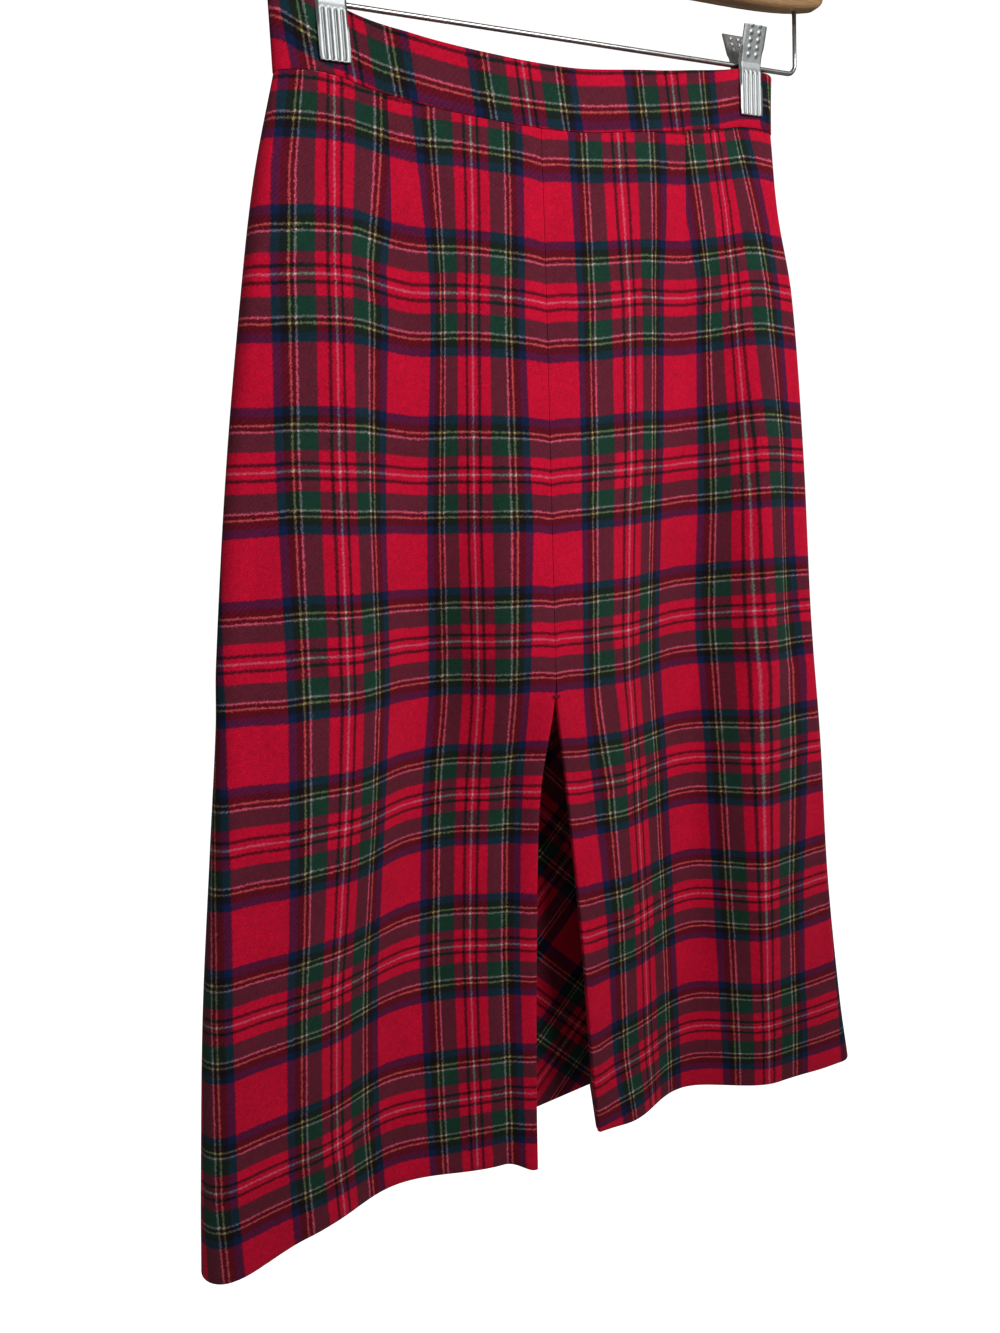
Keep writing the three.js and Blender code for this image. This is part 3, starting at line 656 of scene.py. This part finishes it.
# The band stands a little taller than it was cut, most of all at its left end.
BAND_STRETCH, LEFT_STRETCH, LEFT_STRETCH_FROM = 1.03, 0.1, 140
BAND_DRIFT = {-180: (17,), -174: (15,), -160: (9,), -145: (4,), -110: (1.5,), -60: (0.5,), 0: (1.5,),
              60: (2,), 110: (3.5,), 150: (6,), 170: (6,)}
BAND_SHIFT, BAND_SKEW, BAND_FROM = 9.5, 5, 100


def band_place(i, t):
    inwards, height, _ = band_section(t)
    height *= BAND_STRETCH + LEFT_STRETCH * smooth((-LEFT_STRETCH_FROM - WAIST_PLAN[i].x) / 30)
    near_end = min(WAIST_ARC[i], WAIST_ARC[-1] - WAIST_ARC[i])
    inwards *= mix(0.74, 1, smooth(near_end / 2.5))
    swell = 0.25 * math.sin(math.pi * clamp(height / BAND_HEIGHT)) * math.sin(WAIST_ARC[i] / 17) ** 2
    point = WAIST_PLAN[i] + beside(WAIST_PLAN, i) * (inwards + (swell if inwards < 1 else -swell / 2))
    return Vector((point.x, point.y, WAIST_Z + seam_height(point.x) + height)) * MM


def band_cut(i, t, _):
    _, height, length = band_section(t)
    across = CENTRE_FRONT_ARC - WAIST_ARC[i] - BAND_SKEW * (0.5 - length / BAND_HEIGHT)
    off_grain = table_row(BAND_DRIFT, WAIST_PLAN[i].x, curved=False)[0]
    return (((across + BAND_SHIFT) * REPEAT_ACROSS / REPEAT_DOWN + PALE_LINE) * MM,
            (BAND_FROM + BAND_HEIGHT - length + off_grain) * MM)


waistband = cloth_sheet("waistband_cloth", len(WAIST_PLAN) - 1, BAND_ROWS, band_place, band_cut,
                        (0, -1, 0), CENTRE_FRONT_ARC / WAIST_ARC[-1], layers=lambda i, t: 1, wall=BAND_CLOTH)
near = min(range(len(waistband.data.polygons)),
           key=lambda k: (waistband.data.polygons[k].center
                          - Vector((CENTRE_X, -10, WAIST_Z + 12)) * MM).length)
if waistband.data.polygons[near].normal.y > 0:
    waistband.data.flip_normals()
print("band length", round(WAIST_ARC[-1]), "mm, cloth", round(waistband["area"], 4), "m2")

# %% [markdown]
# ## Sewing and zip
#
# The bar tack holds the pleat's top. The concealed zip lies inside the centre back, so only its fine
# coil shows from within. Both are many small parts of a few faces each, joined in one mesh, which is far
# lighter than separate objects.

# %% Small parts helper
def small_parts(name, boxes, round_off=0.0):
    """One mesh of small rounded blocks, each a (matrix, size) in metres."""
    mesh = bpy.data.meshes.new(name)
    bm = bmesh.new()
    for place, size in boxes:
        bmesh.ops.create_cube(bm, size=1, matrix=place @ Matrix.Diagonal((*size, 1)))
    if round_off:
        bmesh.ops.bevel(bm, geom=list(bm.edges), offset=round_off, offset_type="OFFSET", segments=2,
                        profile=0.5, affect="EDGES", material=-1)
    bm.to_mesh(mesh)
    bm.free()
    mesh.shade_smooth()
    part = bpy.data.objects.new(name, mesh)
    bpy.context.scene.collection.objects.link(part)
    return part


# %% Bar tack, zip coil and button thread
tack = []
for k in range(6):
    x = CENTRE_X - 2 + 0.8 * k
    place = Matrix.Translation(Vector((x, -8.2, level_at(x, PLEAT_TOP + 1))) * MM)
    tack.append((place @ Matrix.Rotation(0.12 * (-1) ** k, 4, "Y"), (0.0006, 0.0007, 0.0022)))
bar_tack = small_parts("pleat_bar_tack", tack, 0.0002)

ZIP_TEETH, ZIP_TOP, ZIP_END = 104, 6, 178
coil = []
for k in range(ZIP_TEETH):
    drop = mix(ZIP_TOP, ZIP_END, k / (ZIP_TEETH - 1))
    y = depth_at(section(1, 1, drop), SEAM_GAP) - 4.3
    sway = 0.5 * (-1) ** k
    coil.append((Matrix.Translation(Vector((CENTRE_X + sway, y, level_at(CENTRE_X, drop))) * MM),
                 (0.0034, 0.0011, 0.0010)))
zip_coil = small_parts("zip_coil", coil, 0.0002)

button_low, button_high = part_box("waist_button")
button_middle = (Vector(button_low) + Vector(button_high)) / 2
cross = [(Matrix.Translation(Vector((button_middle.x, button_high[1] - 0.0004, button_middle.z)))
          @ Matrix.Rotation(math.radians(turn), 4, "Y"), (0.0052, 0.0009, 0.0009)) for turn in (42, -48)]
button_thread = small_parts("button_thread", cross, 0.0003)
print("zip teeth:", ZIP_TEETH)

# %% [markdown]
# ## The hanger's metal
#
# Wire is the shape that curves make best: a line through a few points, a round bevel, and it is turned
# into a mesh so that it can be exported like the rest. The clips are pressed from sheet steel. A grid is
# bent to the plate's profile, pressed into ribs and pimples, and given its thickness.

# %% Wires and springs
TILT = Matrix.Rotation(-HANG_TILT, 4, "Y")


def wire(name, points, radius, resolution=4):
    path = bpy.data.curves.new(name, "CURVE")
    path.dimensions = "3D"
    path.bevel_depth = radius * MM
    path.bevel_resolution = resolution
    path.use_fill_caps = True
    line = path.splines.new("POLY")
    line.points.add(len(points) - 1)
    for spot, point in zip(line.points, points):
        spot.co = (*(TILT @ (Vector(point) * MM)), 1)
    shape = bpy.data.objects.new(name + "_line", path)
    bpy.context.scene.collection.objects.link(shape)
    mesh = bpy.data.meshes.new_from_object(shape.evaluated_get(bpy.context.evaluated_depsgraph_get()))
    bpy.data.objects.remove(shape)
    bm = bmesh.new()
    bm.from_mesh(mesh)
    bmesh.ops.remove_doubles(bm, verts=bm.verts, dist=1e-6)
    bmesh.ops.recalc_face_normals(bm, faces=bm.faces)
    bm.to_mesh(mesh)
    bm.free()
    mesh.name = name
    mesh.shade_smooth()
    piece = bpy.data.objects.new(name, mesh)
    bpy.context.scene.collection.objects.link(piece)
    return piece


def bend(centre_x, centre_z, radius, from_degrees, to_degrees, count):
    angles = [math.radians(mix(from_degrees, to_degrees, k / count)) for k in range(count + 1)]
    return [(centre_x + radius * math.cos(a), 0, centre_z + radius * math.sin(a)) for a in angles]


STEM_FOOT = -68.2
STEM = 8
CROOK_Z, CROOK_RADIUS, HOOK_WIRE = -22.3, 24, 1.7
hook = wire("hook_wire", [(0, 0, STEM_FOOT), (0, 0, STEM_FOOT + STEM),
                          *bend(6, STEM_FOOT + STEM, 6, 160, 112, 6),
                          *bend(0, CROOK_Z, CROOK_RADIUS, -62, 200, 72)], HOOK_WIRE)
CLIP_RAIL_Z = -137
SPRING_RADIUS = 2.75
rail = wire("clip_rail", [(-181, 0, -98.2), *bend(-175, CLIP_RAIL_Z + 6, 6, 180, 270, 12),
                          *bend(175, CLIP_RAIL_Z + 6, 6, 270, 360, 12), (181, 0, -98.2)], 1.5)
CLIPS = {"clip_left": -144.5, "clip_right": 139.5}
springs = {}
for clip, clip_x in CLIPS.items():
    turns, steps = 8, 14
    helix = []
    for k in range(turns * steps + 1):
        angle = 2 * math.pi * k / steps
        helix.append((clip_x + mix(-5.5, 5.5, k / (turns * steps)), SPRING_RADIUS * math.cos(angle),
                      CLIP_RAIL_Z + SPRING_RADIUS * math.sin(angle)))
    springs[clip] = wire(clip + "_spring_coil", helix, 0.62, 2)
print("hook, rail and springs:", 2 + len(springs))

# %% Pressed clip plates
PLATE_COLUMNS, PLATE_ROWS, PLATE_HALF = 54, 110, 9
PLATE_PROFILE = [(6.1, -168.5), (6.1, -142), (5.7, -139.5), (5.6, -136.5), (6.6, -132.5)]
LEVER_TOP = {-1: (11.6, -116.0), 1: (13.1, -113)}


def plate_line(t, facing):
    profile = [*PLATE_PROFILE, LEVER_TOP[facing]]
    lengths = [math.dist(a, b) for a, b in zip(profile, profile[1:])]
    left = t * sum(lengths)
    for (a, b), length in zip(zip(profile, profile[1:]), lengths):
        if left <= length:
            return mix(a[0], b[0], left / length), mix(a[1], b[1], left / length)
        left -= length
    return profile[-1]


def pressed(x, z):
    """Relief of the plate: four ribs on the jaw, two columns of pimples on the lever."""
    relief = 0.0
    if z < -139:
        for rib in (-5.4, -1.8, 1.8, 5.4):
            window = smooth((z + 168.5) / 1.5) * smooth((-141 - z) / 2.5)
            relief -= 0.7 * math.exp(-(((x - rib) / 0.75) ** 2)) * window
    for column in (-3.1, 3.1):
        for k in range(5):
            spot = math.hypot(x - column, z - (-132.2 + 4.0 * k))
            relief += 0.55 * smooth(1 - spot / 1.9)
    return relief


def clip_plate(name, clip_x, facing):
    def place(i, t):
        x = mix(-PLATE_HALF, PLATE_HALF, i / PLATE_COLUMNS)
        y, z = plate_line(t, facing)
        corner = smooth((abs(x) - 7.4) / 1.6)
        flange = 1.0 * corner * smooth((z + 152) / 4) * smooth((-127 - z) / 4) + 0.35 * corner
        y = y + pressed(x, z) - flange
        x *= 1 - 0.05 * smooth((-164 - z) / 5)
        return TILT @ (Vector((clip_x + x, facing * y, z)) * MM)

    plate = cloth_sheet(name, PLATE_COLUMNS, PLATE_ROWS, lambda i, t: place(i, 1 - t),
                        lambda i, t, _: (i / PLATE_COLUMNS, t), (0, facing, 0), 0.5,
                        layers=lambda i, t: 1, wall=0.0011)
    return plate


plates = {}
for clip, clip_x in CLIPS.items():
    plates[clip + "_front"] = clip_plate(clip + "_front_plate", clip_x, -1)
    plates[clip + "_back"] = clip_plate(clip + "_back_plate", clip_x, 1)
print("clip plates:", len(plates))

# %% [markdown]
# ## The tartan
#
# A tartan is the same list of coloured stripes run both ways. A paint map would fix its size and sharpness,
# so the stripes come from a ramp that is folded at the middle of the red block and at the pale line, once for
# the threads that run down and once for those that run across. A 2/2 twill then decides, thread by thread,
# which of the two lies on top. The effect is a node group with named inputs, which the cloth's finish uses.

# %% Node helpers
class Nodes:
    """Adds nodes to a tree with few words."""

    def __init__(self, tree):
        self.tree = tree

    def add(self, kind, **settings):
        node = self.tree.nodes.new(kind)
        for key, value in settings.items():
            setattr(node, key, value)
        return node

    def put(self, value, socket):
        if isinstance(value, bpy.types.NodeSocket):
            self.tree.links.new(value, socket)
        else:
            socket.default_value = value

    def math(self, operation, *values):
        node = self.add("ShaderNodeMath", operation=operation)
        for value, socket in zip(values, node.inputs):
            self.put(value, socket)
        return node.outputs[0]

    def noise(self, vector, scale, detail=2.0, roughness=0.5):
        node = self.add("ShaderNodeTexNoise")
        self.put(vector, node.inputs["Vector"])
        self.put(scale, node.inputs["Scale"])
        self.put(detail, node.inputs["Detail"])
        self.put(roughness, node.inputs["Roughness"])
        return node.outputs["Fac"]

    def ramp(self, value, stops):
        node = self.add("ShaderNodeValToRGB")
        elements = node.color_ramp.elements
        while len(elements) < len(stops):
            elements.new(1.0)
        for element, (at, color) in zip(elements, stops):
            element.position = at
        for element, (at, color) in zip(elements, stops):
            element.color = (*color, 1)
        self.put(value, node.inputs["Fac"])
        return node.outputs["Color"]

    def blend(self, share, a, b, mode="MIX"):
        node = self.add("ShaderNodeMix", data_type="RGBA", blend_type=mode)
        self.put(share, node.inputs[0])
        self.put(a, node.inputs[6])
        self.put(b, node.inputs[7])
        return node.outputs[2]


def node_group(name, inputs, outputs):
    tree = bpy.data.node_groups.new(name, "ShaderNodeTree")
    for label, kind, value in inputs:
        socket = tree.interface.new_socket(label, in_out="INPUT", socket_type=kind)
        socket.default_value = value
    for label, kind in outputs:
        tree.interface.new_socket(label, in_out="OUTPUT", socket_type=kind)
    nodes = Nodes(tree)
    return nodes, nodes.add("NodeGroupInput").outputs, nodes.add("NodeGroupOutput").inputs


MIX_POWER = 4.2


def seen(red, green, blue):
    """A colour as the eye sees it, 0-255, in the evenly stepped scale that the threads are mixed in."""
    linear = [v / 255 / 12.92 if v < 10.4 else ((v / 255 + 0.055) / 1.055) ** 2.4 for v in (red, green, blue)]
    return tuple(v ** (1 / MIX_POWER) for v in linear)


# %% Tartan group
RED, GREEN, BLUE = seen(222, 14, 56), seen(28, 66, 52), seen(18, 36, 78)
BLACK, YELLOW, WHITE = seen(27, 17, 20), seen(214, 200, 112), seen(240, 214, 196)
STRIPES = [(0, RED), (17.3, BLUE), (22.3, BLACK), (26.6, YELLOW), (27.8, BLACK), (30.0, WHITE),
           (31.2, GREEN), (41.5, RED), (47.8, BLACK), (49.6, RED), (52.35, WHITE)]
HALF_REPEAT = REPEAT_DOWN / 2
FIRST_RED_DOWN = 47.0
SOFT_EDGE = 0.35

nodes, given, wanted = node_group("tartan weave", [
    ("Across", "NodeSocketFloat", 0.0), ("Down", "NodeSocketFloat", 0.0),
    ("Thread", "NodeSocketFloat", 0.8), ("Fuzz", "NodeSocketFloat", 0.1)],
    [("Color", "NodeSocketColor"), ("Height", "NodeSocketFloat")])
object_place = nodes.add("ShaderNodeTexCoord").outputs["Object"]
loose = nodes.math("MULTIPLY", nodes.math("SUBTRACT", nodes.noise(object_place, 420.0), 0.5), 0.6)
hairs = nodes.math("MULTIPLY", nodes.math("SUBTRACT", nodes.noise(object_place, 1100.0), 0.5), 3.0)
wobble = nodes.math("ADD", loose, hairs)
across = nodes.math("ADD", given["Across"], wobble)
down = nodes.math("SUBTRACT", given["Down"], wobble)
stops = [(0.0, RED)]
for (_, before), (at, color) in zip(STRIPES, STRIPES[1:]):
    stops += [((at - SOFT_EDGE) / HALF_REPEAT, before), ((at + SOFT_EDGE) / HALF_REPEAT, color)]
warp = nodes.ramp(nodes.math("DIVIDE", nodes.math("PINGPONG", across, PALE_LINE), PALE_LINE), stops)
from_red = nodes.math("SUBTRACT", down, FIRST_RED_DOWN)
weft = nodes.ramp(nodes.math("DIVIDE", nodes.math("PINGPONG", from_red, HALF_REPEAT), HALF_REPEAT), stops)
count_across = nodes.math("FLOOR", nodes.math("DIVIDE", across, given["Thread"]))
count_down = nodes.math("FLOOR", nodes.math("DIVIDE", down, given["Thread"]))
step = nodes.math("FLOORED_MODULO", nodes.math("ADD", count_across, count_down), 4.0)
warp_over = nodes.math("LESS_THAN", step, 2.0)
nap = nodes.noise(object_place, 1500.0, 3.0, 0.6)
twill_share = nodes.math("MULTIPLY_ADD", warp_over, 0.09, 0.33)
share = nodes.math("MULTIPLY_ADD", nodes.noise(object_place, 800.0), 0.25, twill_share)
threads = nodes.blend(share, weft, warp)
cloud = nodes.noise(object_place, 38.0, 3.0)
tufts = nodes.noise(object_place, 330.0)
matted = nodes.math("ADD", nodes.math("MULTIPLY", nodes.math("SUBTRACT", cloud, 0.5), 0.08),
                    nodes.math("MULTIPLY", nodes.math("SUBTRACT", tufts, 0.5), 0.09))
light = nodes.math("ADD", nodes.math("MULTIPLY", nodes.math("SUBTRACT", nap, 0.5), given["Fuzz"]), matted)
level = nodes.math("ADD", light, 1.0)
shade = nodes.add("ShaderNodeCombineXYZ")
for socket in shade.inputs:
    nodes.put(level, socket)
worn = nodes.blend(1.0, threads, shade.outputs[0], "MULTIPLY")
linear = nodes.add("ShaderNodeGamma")
nodes.put(worn, linear.inputs["Color"])
nodes.put(MIX_POWER, linear.inputs["Gamma"])
nodes.put(linear.outputs["Color"], wanted["Color"])
round_across = nodes.math("PINGPONG", across, nodes.math("MULTIPLY", given["Thread"], 0.5))
round_down = nodes.math("PINGPONG", down, nodes.math("MULTIPLY", given["Thread"], 0.5))
bulge = nodes.math("ADD", round_across, round_down)
relief = nodes.math("ADD", nodes.math("MULTIPLY", bulge, 0.5), nodes.math("MULTIPLY", nap, 0.7))
nodes.put(relief, wanted["Height"])
TARTAN = nodes.tree
print("tartan group nodes:", len(TARTAN.nodes))

# %% [markdown]
# ## Finishes
#
# Each finish keeps its own Principled shader. Values that are the same all over sit on the shader's own
# sockets, and only what changes over the surface comes from nodes.

# %% Finish helpers
def new_finish(name, **values):
    material = bpy.data.materials.new(name)
    material.use_nodes = True
    tree = material.node_tree
    shader = tree.nodes["Principled BSDF"]
    for label, value in values.items():
        shader.inputs[label.replace("_", " ")].default_value = value
    return material, Nodes(tree), shader


def bump(nodes, shader, height, strength, distance):
    node = nodes.add("ShaderNodeBump")
    node.inputs["Strength"].default_value = strength
    node.inputs["Distance"].default_value = distance
    nodes.put(height, node.inputs["Height"])
    nodes.put(node.outputs["Normal"], shader.inputs["Normal"])


def tartan_finish(name, fuzz=0.36, strength=0.5):
    material, nodes, shader = new_finish(name, Roughness=0.9, Sheen_Weight=0.06, Sheen_Roughness=0.5)
    shader.inputs["Specular IOR Level"].default_value = 0.12
    shader.inputs["Sheen Tint"].default_value = (1.0, 0.9, 0.88, 1)
    woven = nodes.add("ShaderNodeUVMap", uv_map="cut").outputs["UV"]
    parts = nodes.add("ShaderNodeSeparateXYZ")
    nodes.put(woven, parts.inputs[0])
    weave = nodes.add("ShaderNodeGroup", node_tree=TARTAN)
    nodes.put(nodes.math("MULTIPLY", parts.outputs["X"], 1000.0), weave.inputs["Across"])
    nodes.put(nodes.math("MULTIPLY", parts.outputs["Y"], 1000.0), weave.inputs["Down"])
    weave.inputs["Fuzz"].default_value = fuzz
    nodes.put(weave.outputs["Color"], shader.inputs["Base Color"])
    bump(nodes, shader, weave.outputs["Height"], strength, 0.0003)
    return material


def paint(piece, material):
    piece.data.materials.clear()
    piece.data.materials.append(material)


# %% Cloth, thread, zip and button
skirt_tartan = tartan_finish("skirt tartan")
for piece in (front_left, front_right, back_left, back_right, waistband, underlay):
    paint(piece, skirt_tartan)

thread, nodes, shader = new_finish("dark red thread", Roughness=0.85)
place = nodes.add("ShaderNodeTexCoord").outputs["Object"]
nodes.put(nodes.ramp(nodes.noise(place, 2600.0), [(0.3, (0.10, 0.004, 0.012)), (0.7, (0.30, 0.01, 0.03))]),
          shader.inputs["Base Color"])
bump(nodes, shader, nodes.noise(place, 4200.0), 0.4, 0.0002)
for piece in (bar_tack, button_thread):
    paint(piece, thread)

tape, nodes, shader = new_finish("zip tape", Roughness=0.85)
place = nodes.add("ShaderNodeTexCoord").outputs["Object"]
ribs = nodes.add("ShaderNodeTexWave", bands_direction="Z")
nodes.put(place, ribs.inputs["Vector"])
ribs.inputs["Scale"].default_value = 380.0
ribs.inputs["Distortion"].default_value = 1.0
nodes.put(nodes.ramp(ribs.outputs["Fac"], [(0.0, (0.05, 0.004, 0.008)), (1.0, (0.11, 0.008, 0.018))]),
          shader.inputs["Base Color"])
bump(nodes, shader, ribs.outputs["Fac"], 0.5, 0.0003)
paint(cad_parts["zip_tape"], tape)
paint(zip_coil, tape)

horn, nodes, shader = new_finish("button horn", Roughness=0.32)
place = nodes.add("ShaderNodeTexCoord").outputs["Object"]
clouds = nodes.noise(place, 160.0, 5.0, 0.65)
nodes.put(nodes.ramp(clouds, [(0.3, (0.012, 0.004, 0.004)), (0.6, (0.05, 0.012, 0.010)),
                              (0.8, (0.12, 0.03, 0.02))]), shader.inputs["Base Color"])
nodes.put(nodes.math("MULTIPLY_ADD", clouds, 0.3, 0.2), shader.inputs["Roughness"])
bump(nodes, shader, clouds, 0.1, 0.0003)
paint(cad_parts["waist_button"], horn)
print("cloth and trim finished")

# %% Wood and steel
wood, nodes, shader = new_finish("varnished bar wood", Coat_Weight=0.25, Coat_Roughness=0.2)
place = nodes.add("ShaderNodeTexCoord").outputs["Object"]
turned = nodes.add("ShaderNodeMapping")
turned.inputs["Scale"].default_value = (0.09, 1.0, 1.0)
nodes.put(place, turned.inputs["Vector"])
grain = nodes.noise(turned.outputs["Vector"], 170.0, 6.0, 0.62)
pores = nodes.noise(turned.outputs["Vector"], 1300.0, 3.0)
tone = nodes.math("MULTIPLY_ADD", pores, 0.35, nodes.math("MULTIPLY", grain, 0.75))
nodes.put(nodes.ramp(tone, [(0.34, (0.30, 0.135, 0.045)), (0.52, (0.50, 0.27, 0.11)),
                            (0.72, (0.62, 0.38, 0.18))]), shader.inputs["Base Color"])
nodes.put(nodes.math("MULTIPLY_ADD", tone, -0.3, 0.58), shader.inputs["Roughness"])
bump(nodes, shader, tone, 0.15, 0.0006)
paint(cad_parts["hanger_bar"], wood)


def steel_finish(name, tint, rough):
    material, nodes, shader = new_finish(name, Metallic=1.0)
    place = nodes.add("ShaderNodeTexCoord").outputs["Object"]
    dull = nodes.noise(place, 240.0, 4.0)
    fine = nodes.noise(place, 1900.0, 2.0)
    low = tuple(0.82 * v for v in tint)
    nodes.put(nodes.ramp(dull, [(0.3, low), (0.7, tint)]), shader.inputs["Base Color"])
    nodes.put(nodes.math("MULTIPLY_ADD", dull, 0.16, rough), shader.inputs["Roughness"])
    bump(nodes, shader, fine, 0.05, 0.0003)
    return material


bright_wire = steel_finish("bright wire", (0.66, 0.66, 0.65), 0.22)
plate_steel = steel_finish("plated clip steel", (0.50, 0.52, 0.52), 0.4)
for piece in (hook, rail, *springs.values()):
    paint(piece, bright_wire)
for piece in plates.values():
    paint(piece, plate_steel)
print("finishes:", len(bpy.data.materials))

# %% [markdown]
# ## What each piece stands for
#
# Every piece rides on the one body, and each of the larger pieces hides the solid that it dresses. The four
# halves print how big their cloth was before it was hung.

# %% Ride and hide the solids
STANDS_FOR = [
    (front_left, "front_left", "tartan_cloth"), (front_right, "front_right", "tartan_cloth"),
    (back_left, "back_left", "tartan_cloth"), (back_right, "back_right", "tartan_cloth"),
    (underlay, "pleat_underlay", "bias_cloth"), (waistband, "waistband", "band_cloth"),
    (hook, "hanger_hook", "wire"), (rail, "clip_wire", "wire"),
]
STANDS_FOR += [(piece, name, "clip_metal") for name, piece in plates.items()]
STANDS_FOR += [(piece, name + "_spring", "spring_metal") for name, piece in springs.items()]
for piece, node, slot in STANDS_FOR:
    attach(piece, "root")
    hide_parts(node)
for piece, slot in ((bar_tack, "tartan_cloth"), (button_thread, "button"), (zip_coil, "tape")):
    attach(piece, "root")

for piece, side, facing, hidden in ((front_left, -1, -1, RETURN_WIDTH), (front_right, 1, -1, RETURN_WIDTH),
                                    (back_left, -1, 1, ALLOWANCE), (back_right, 1, 1, ALLOWANCE)):
    arc = arc_lengths(side, facing, SKIRT_DROP)[-1] + 1.4 * TURN_HEM + hidden
    flat = (round(arc * MM + 0.02, 3), 0.69)
    print(piece.name, "flat", flat, "area", round(piece["area"], 4))

# %% [markdown]
# ## Floor, light and camera
#
# The skirt hangs in front of a plain white sweep. Large soft lamps keep the wool's folds gentle. The key
# lamp stands to the front right and above, so the pleat's strip stays dark. Another lights the back.

# %% Floor and backdrop
FLOOR_Z = -1.3
SWEEP_WIDTH, SWEEP_LENGTH, SWEEP_NEAR = 16, 11, 4.5
SWEEP_TURN_AT, SWEEP_RADIUS = 2, 1.2


def sweep():
    mesh = bpy.data.meshes.new("sweep")
    bm = bmesh.new()
    bmesh.ops.create_grid(bm, x_segments=2, y_segments=40, size=0.5)
    for vert in bm.verts:
        run = (vert.co.y + 0.5) * SWEEP_LENGTH - SWEEP_NEAR
        x = vert.co.x * SWEEP_WIDTH
        if run < SWEEP_TURN_AT:
            vert.co = (x, run, FLOOR_Z)
        else:
            angle = min((run - SWEEP_TURN_AT) / SWEEP_RADIUS, math.pi / 2)
            rest = max(0, run - SWEEP_TURN_AT - SWEEP_RADIUS * math.pi / 2)
            vert.co = (x, SWEEP_TURN_AT + SWEEP_RADIUS * math.sin(angle),
                       FLOOR_Z + SWEEP_RADIUS * (1 - math.cos(angle)) + rest)
    bm.to_mesh(mesh)
    bm.free()
    mesh.shade_smooth()
    cloth = bpy.data.objects.new("sweep", mesh)
    bpy.context.scene.collection.objects.link(cloth)
    return cloth


backdrop = sweep()
paper, nodes, shader = new_finish("white paper", Roughness=0.9, Emission_Color=(1, 1, 1, 1))
seen_straight = nodes.add("ShaderNodeLightPath").outputs["Is Camera Ray"]
nodes.put(seen_straight, shader.inputs["Emission Strength"])
place = nodes.add("ShaderNodeTexCoord").outputs["Object"]
nodes.put(nodes.ramp(nodes.noise(place, 3.0), [(0.3, (0.52, 0.52, 0.52)), (0.7, (0.56, 0.56, 0.56))]),
          shader.inputs["Base Color"])
paint(backdrop, paper)

# %% Lights
world = bpy.context.scene.world or bpy.data.worlds.new("studio")
bpy.context.scene.world = world
world.use_nodes = True
world.node_tree.nodes["Background"].inputs["Color"].default_value = (1.0, 0.99, 0.98, 1)
world.node_tree.nodes["Background"].inputs["Strength"].default_value = 0.16
SKIRT_MIDDLE = Vector((-0.02, 0.0, -0.38))


def soft_lamp(name, place, size, power, spread=180):
    lamp = bpy.data.lights.new(name, "AREA")
    lamp.shape = "SQUARE"
    lamp.size = size
    lamp.energy = power
    lamp.spread = math.radians(spread)
    light = bpy.data.objects.new(name, lamp)
    light.location = place
    light.rotation_euler = (SKIRT_MIDDLE - Vector(place)).to_track_quat("-Z", "Y").to_euler()
    bpy.context.scene.collection.objects.link(light)
    return light


soft_lamp("key", (0.28, -1.02, 0.12), 0.6, 1.95, 80)
soft_lamp("fill", (-1.4, -1.2, 0.0), 1.2, 1.2)
soft_lamp("back lamp", (0.3, 1.6, 0.4), 1.2, 12)

# %% Camera
YAW, PITCH, ROLL = math.radians(25), math.radians(9), math.radians(2.2)
look = Vector((math.sin(YAW) * math.cos(PITCH), math.cos(YAW) * math.cos(PITCH), -math.sin(PITCH)))
level_right = Vector((math.cos(YAW), -math.sin(YAW), 0))
upright = level_right.cross(look)
right = level_right * math.cos(ROLL) - upright * math.sin(ROLL)
upward = upright * math.cos(ROLL) + level_right * math.sin(ROLL)
camera = bpy.data.objects.new("camera", bpy.data.cameras.new("camera"))
camera.data.lens = 27
camera.data.sensor_width = 36
camera.matrix_world = (Matrix.Translation((-0.3204, -0.5728, -0.4155))
                       @ Matrix((right, upward, -look)).transposed().to_4x4())
bpy.context.scene.collection.objects.link(camera)
bpy.context.scene.camera = camera
bpy.context.scene.view_settings.view_transform = "Standard"
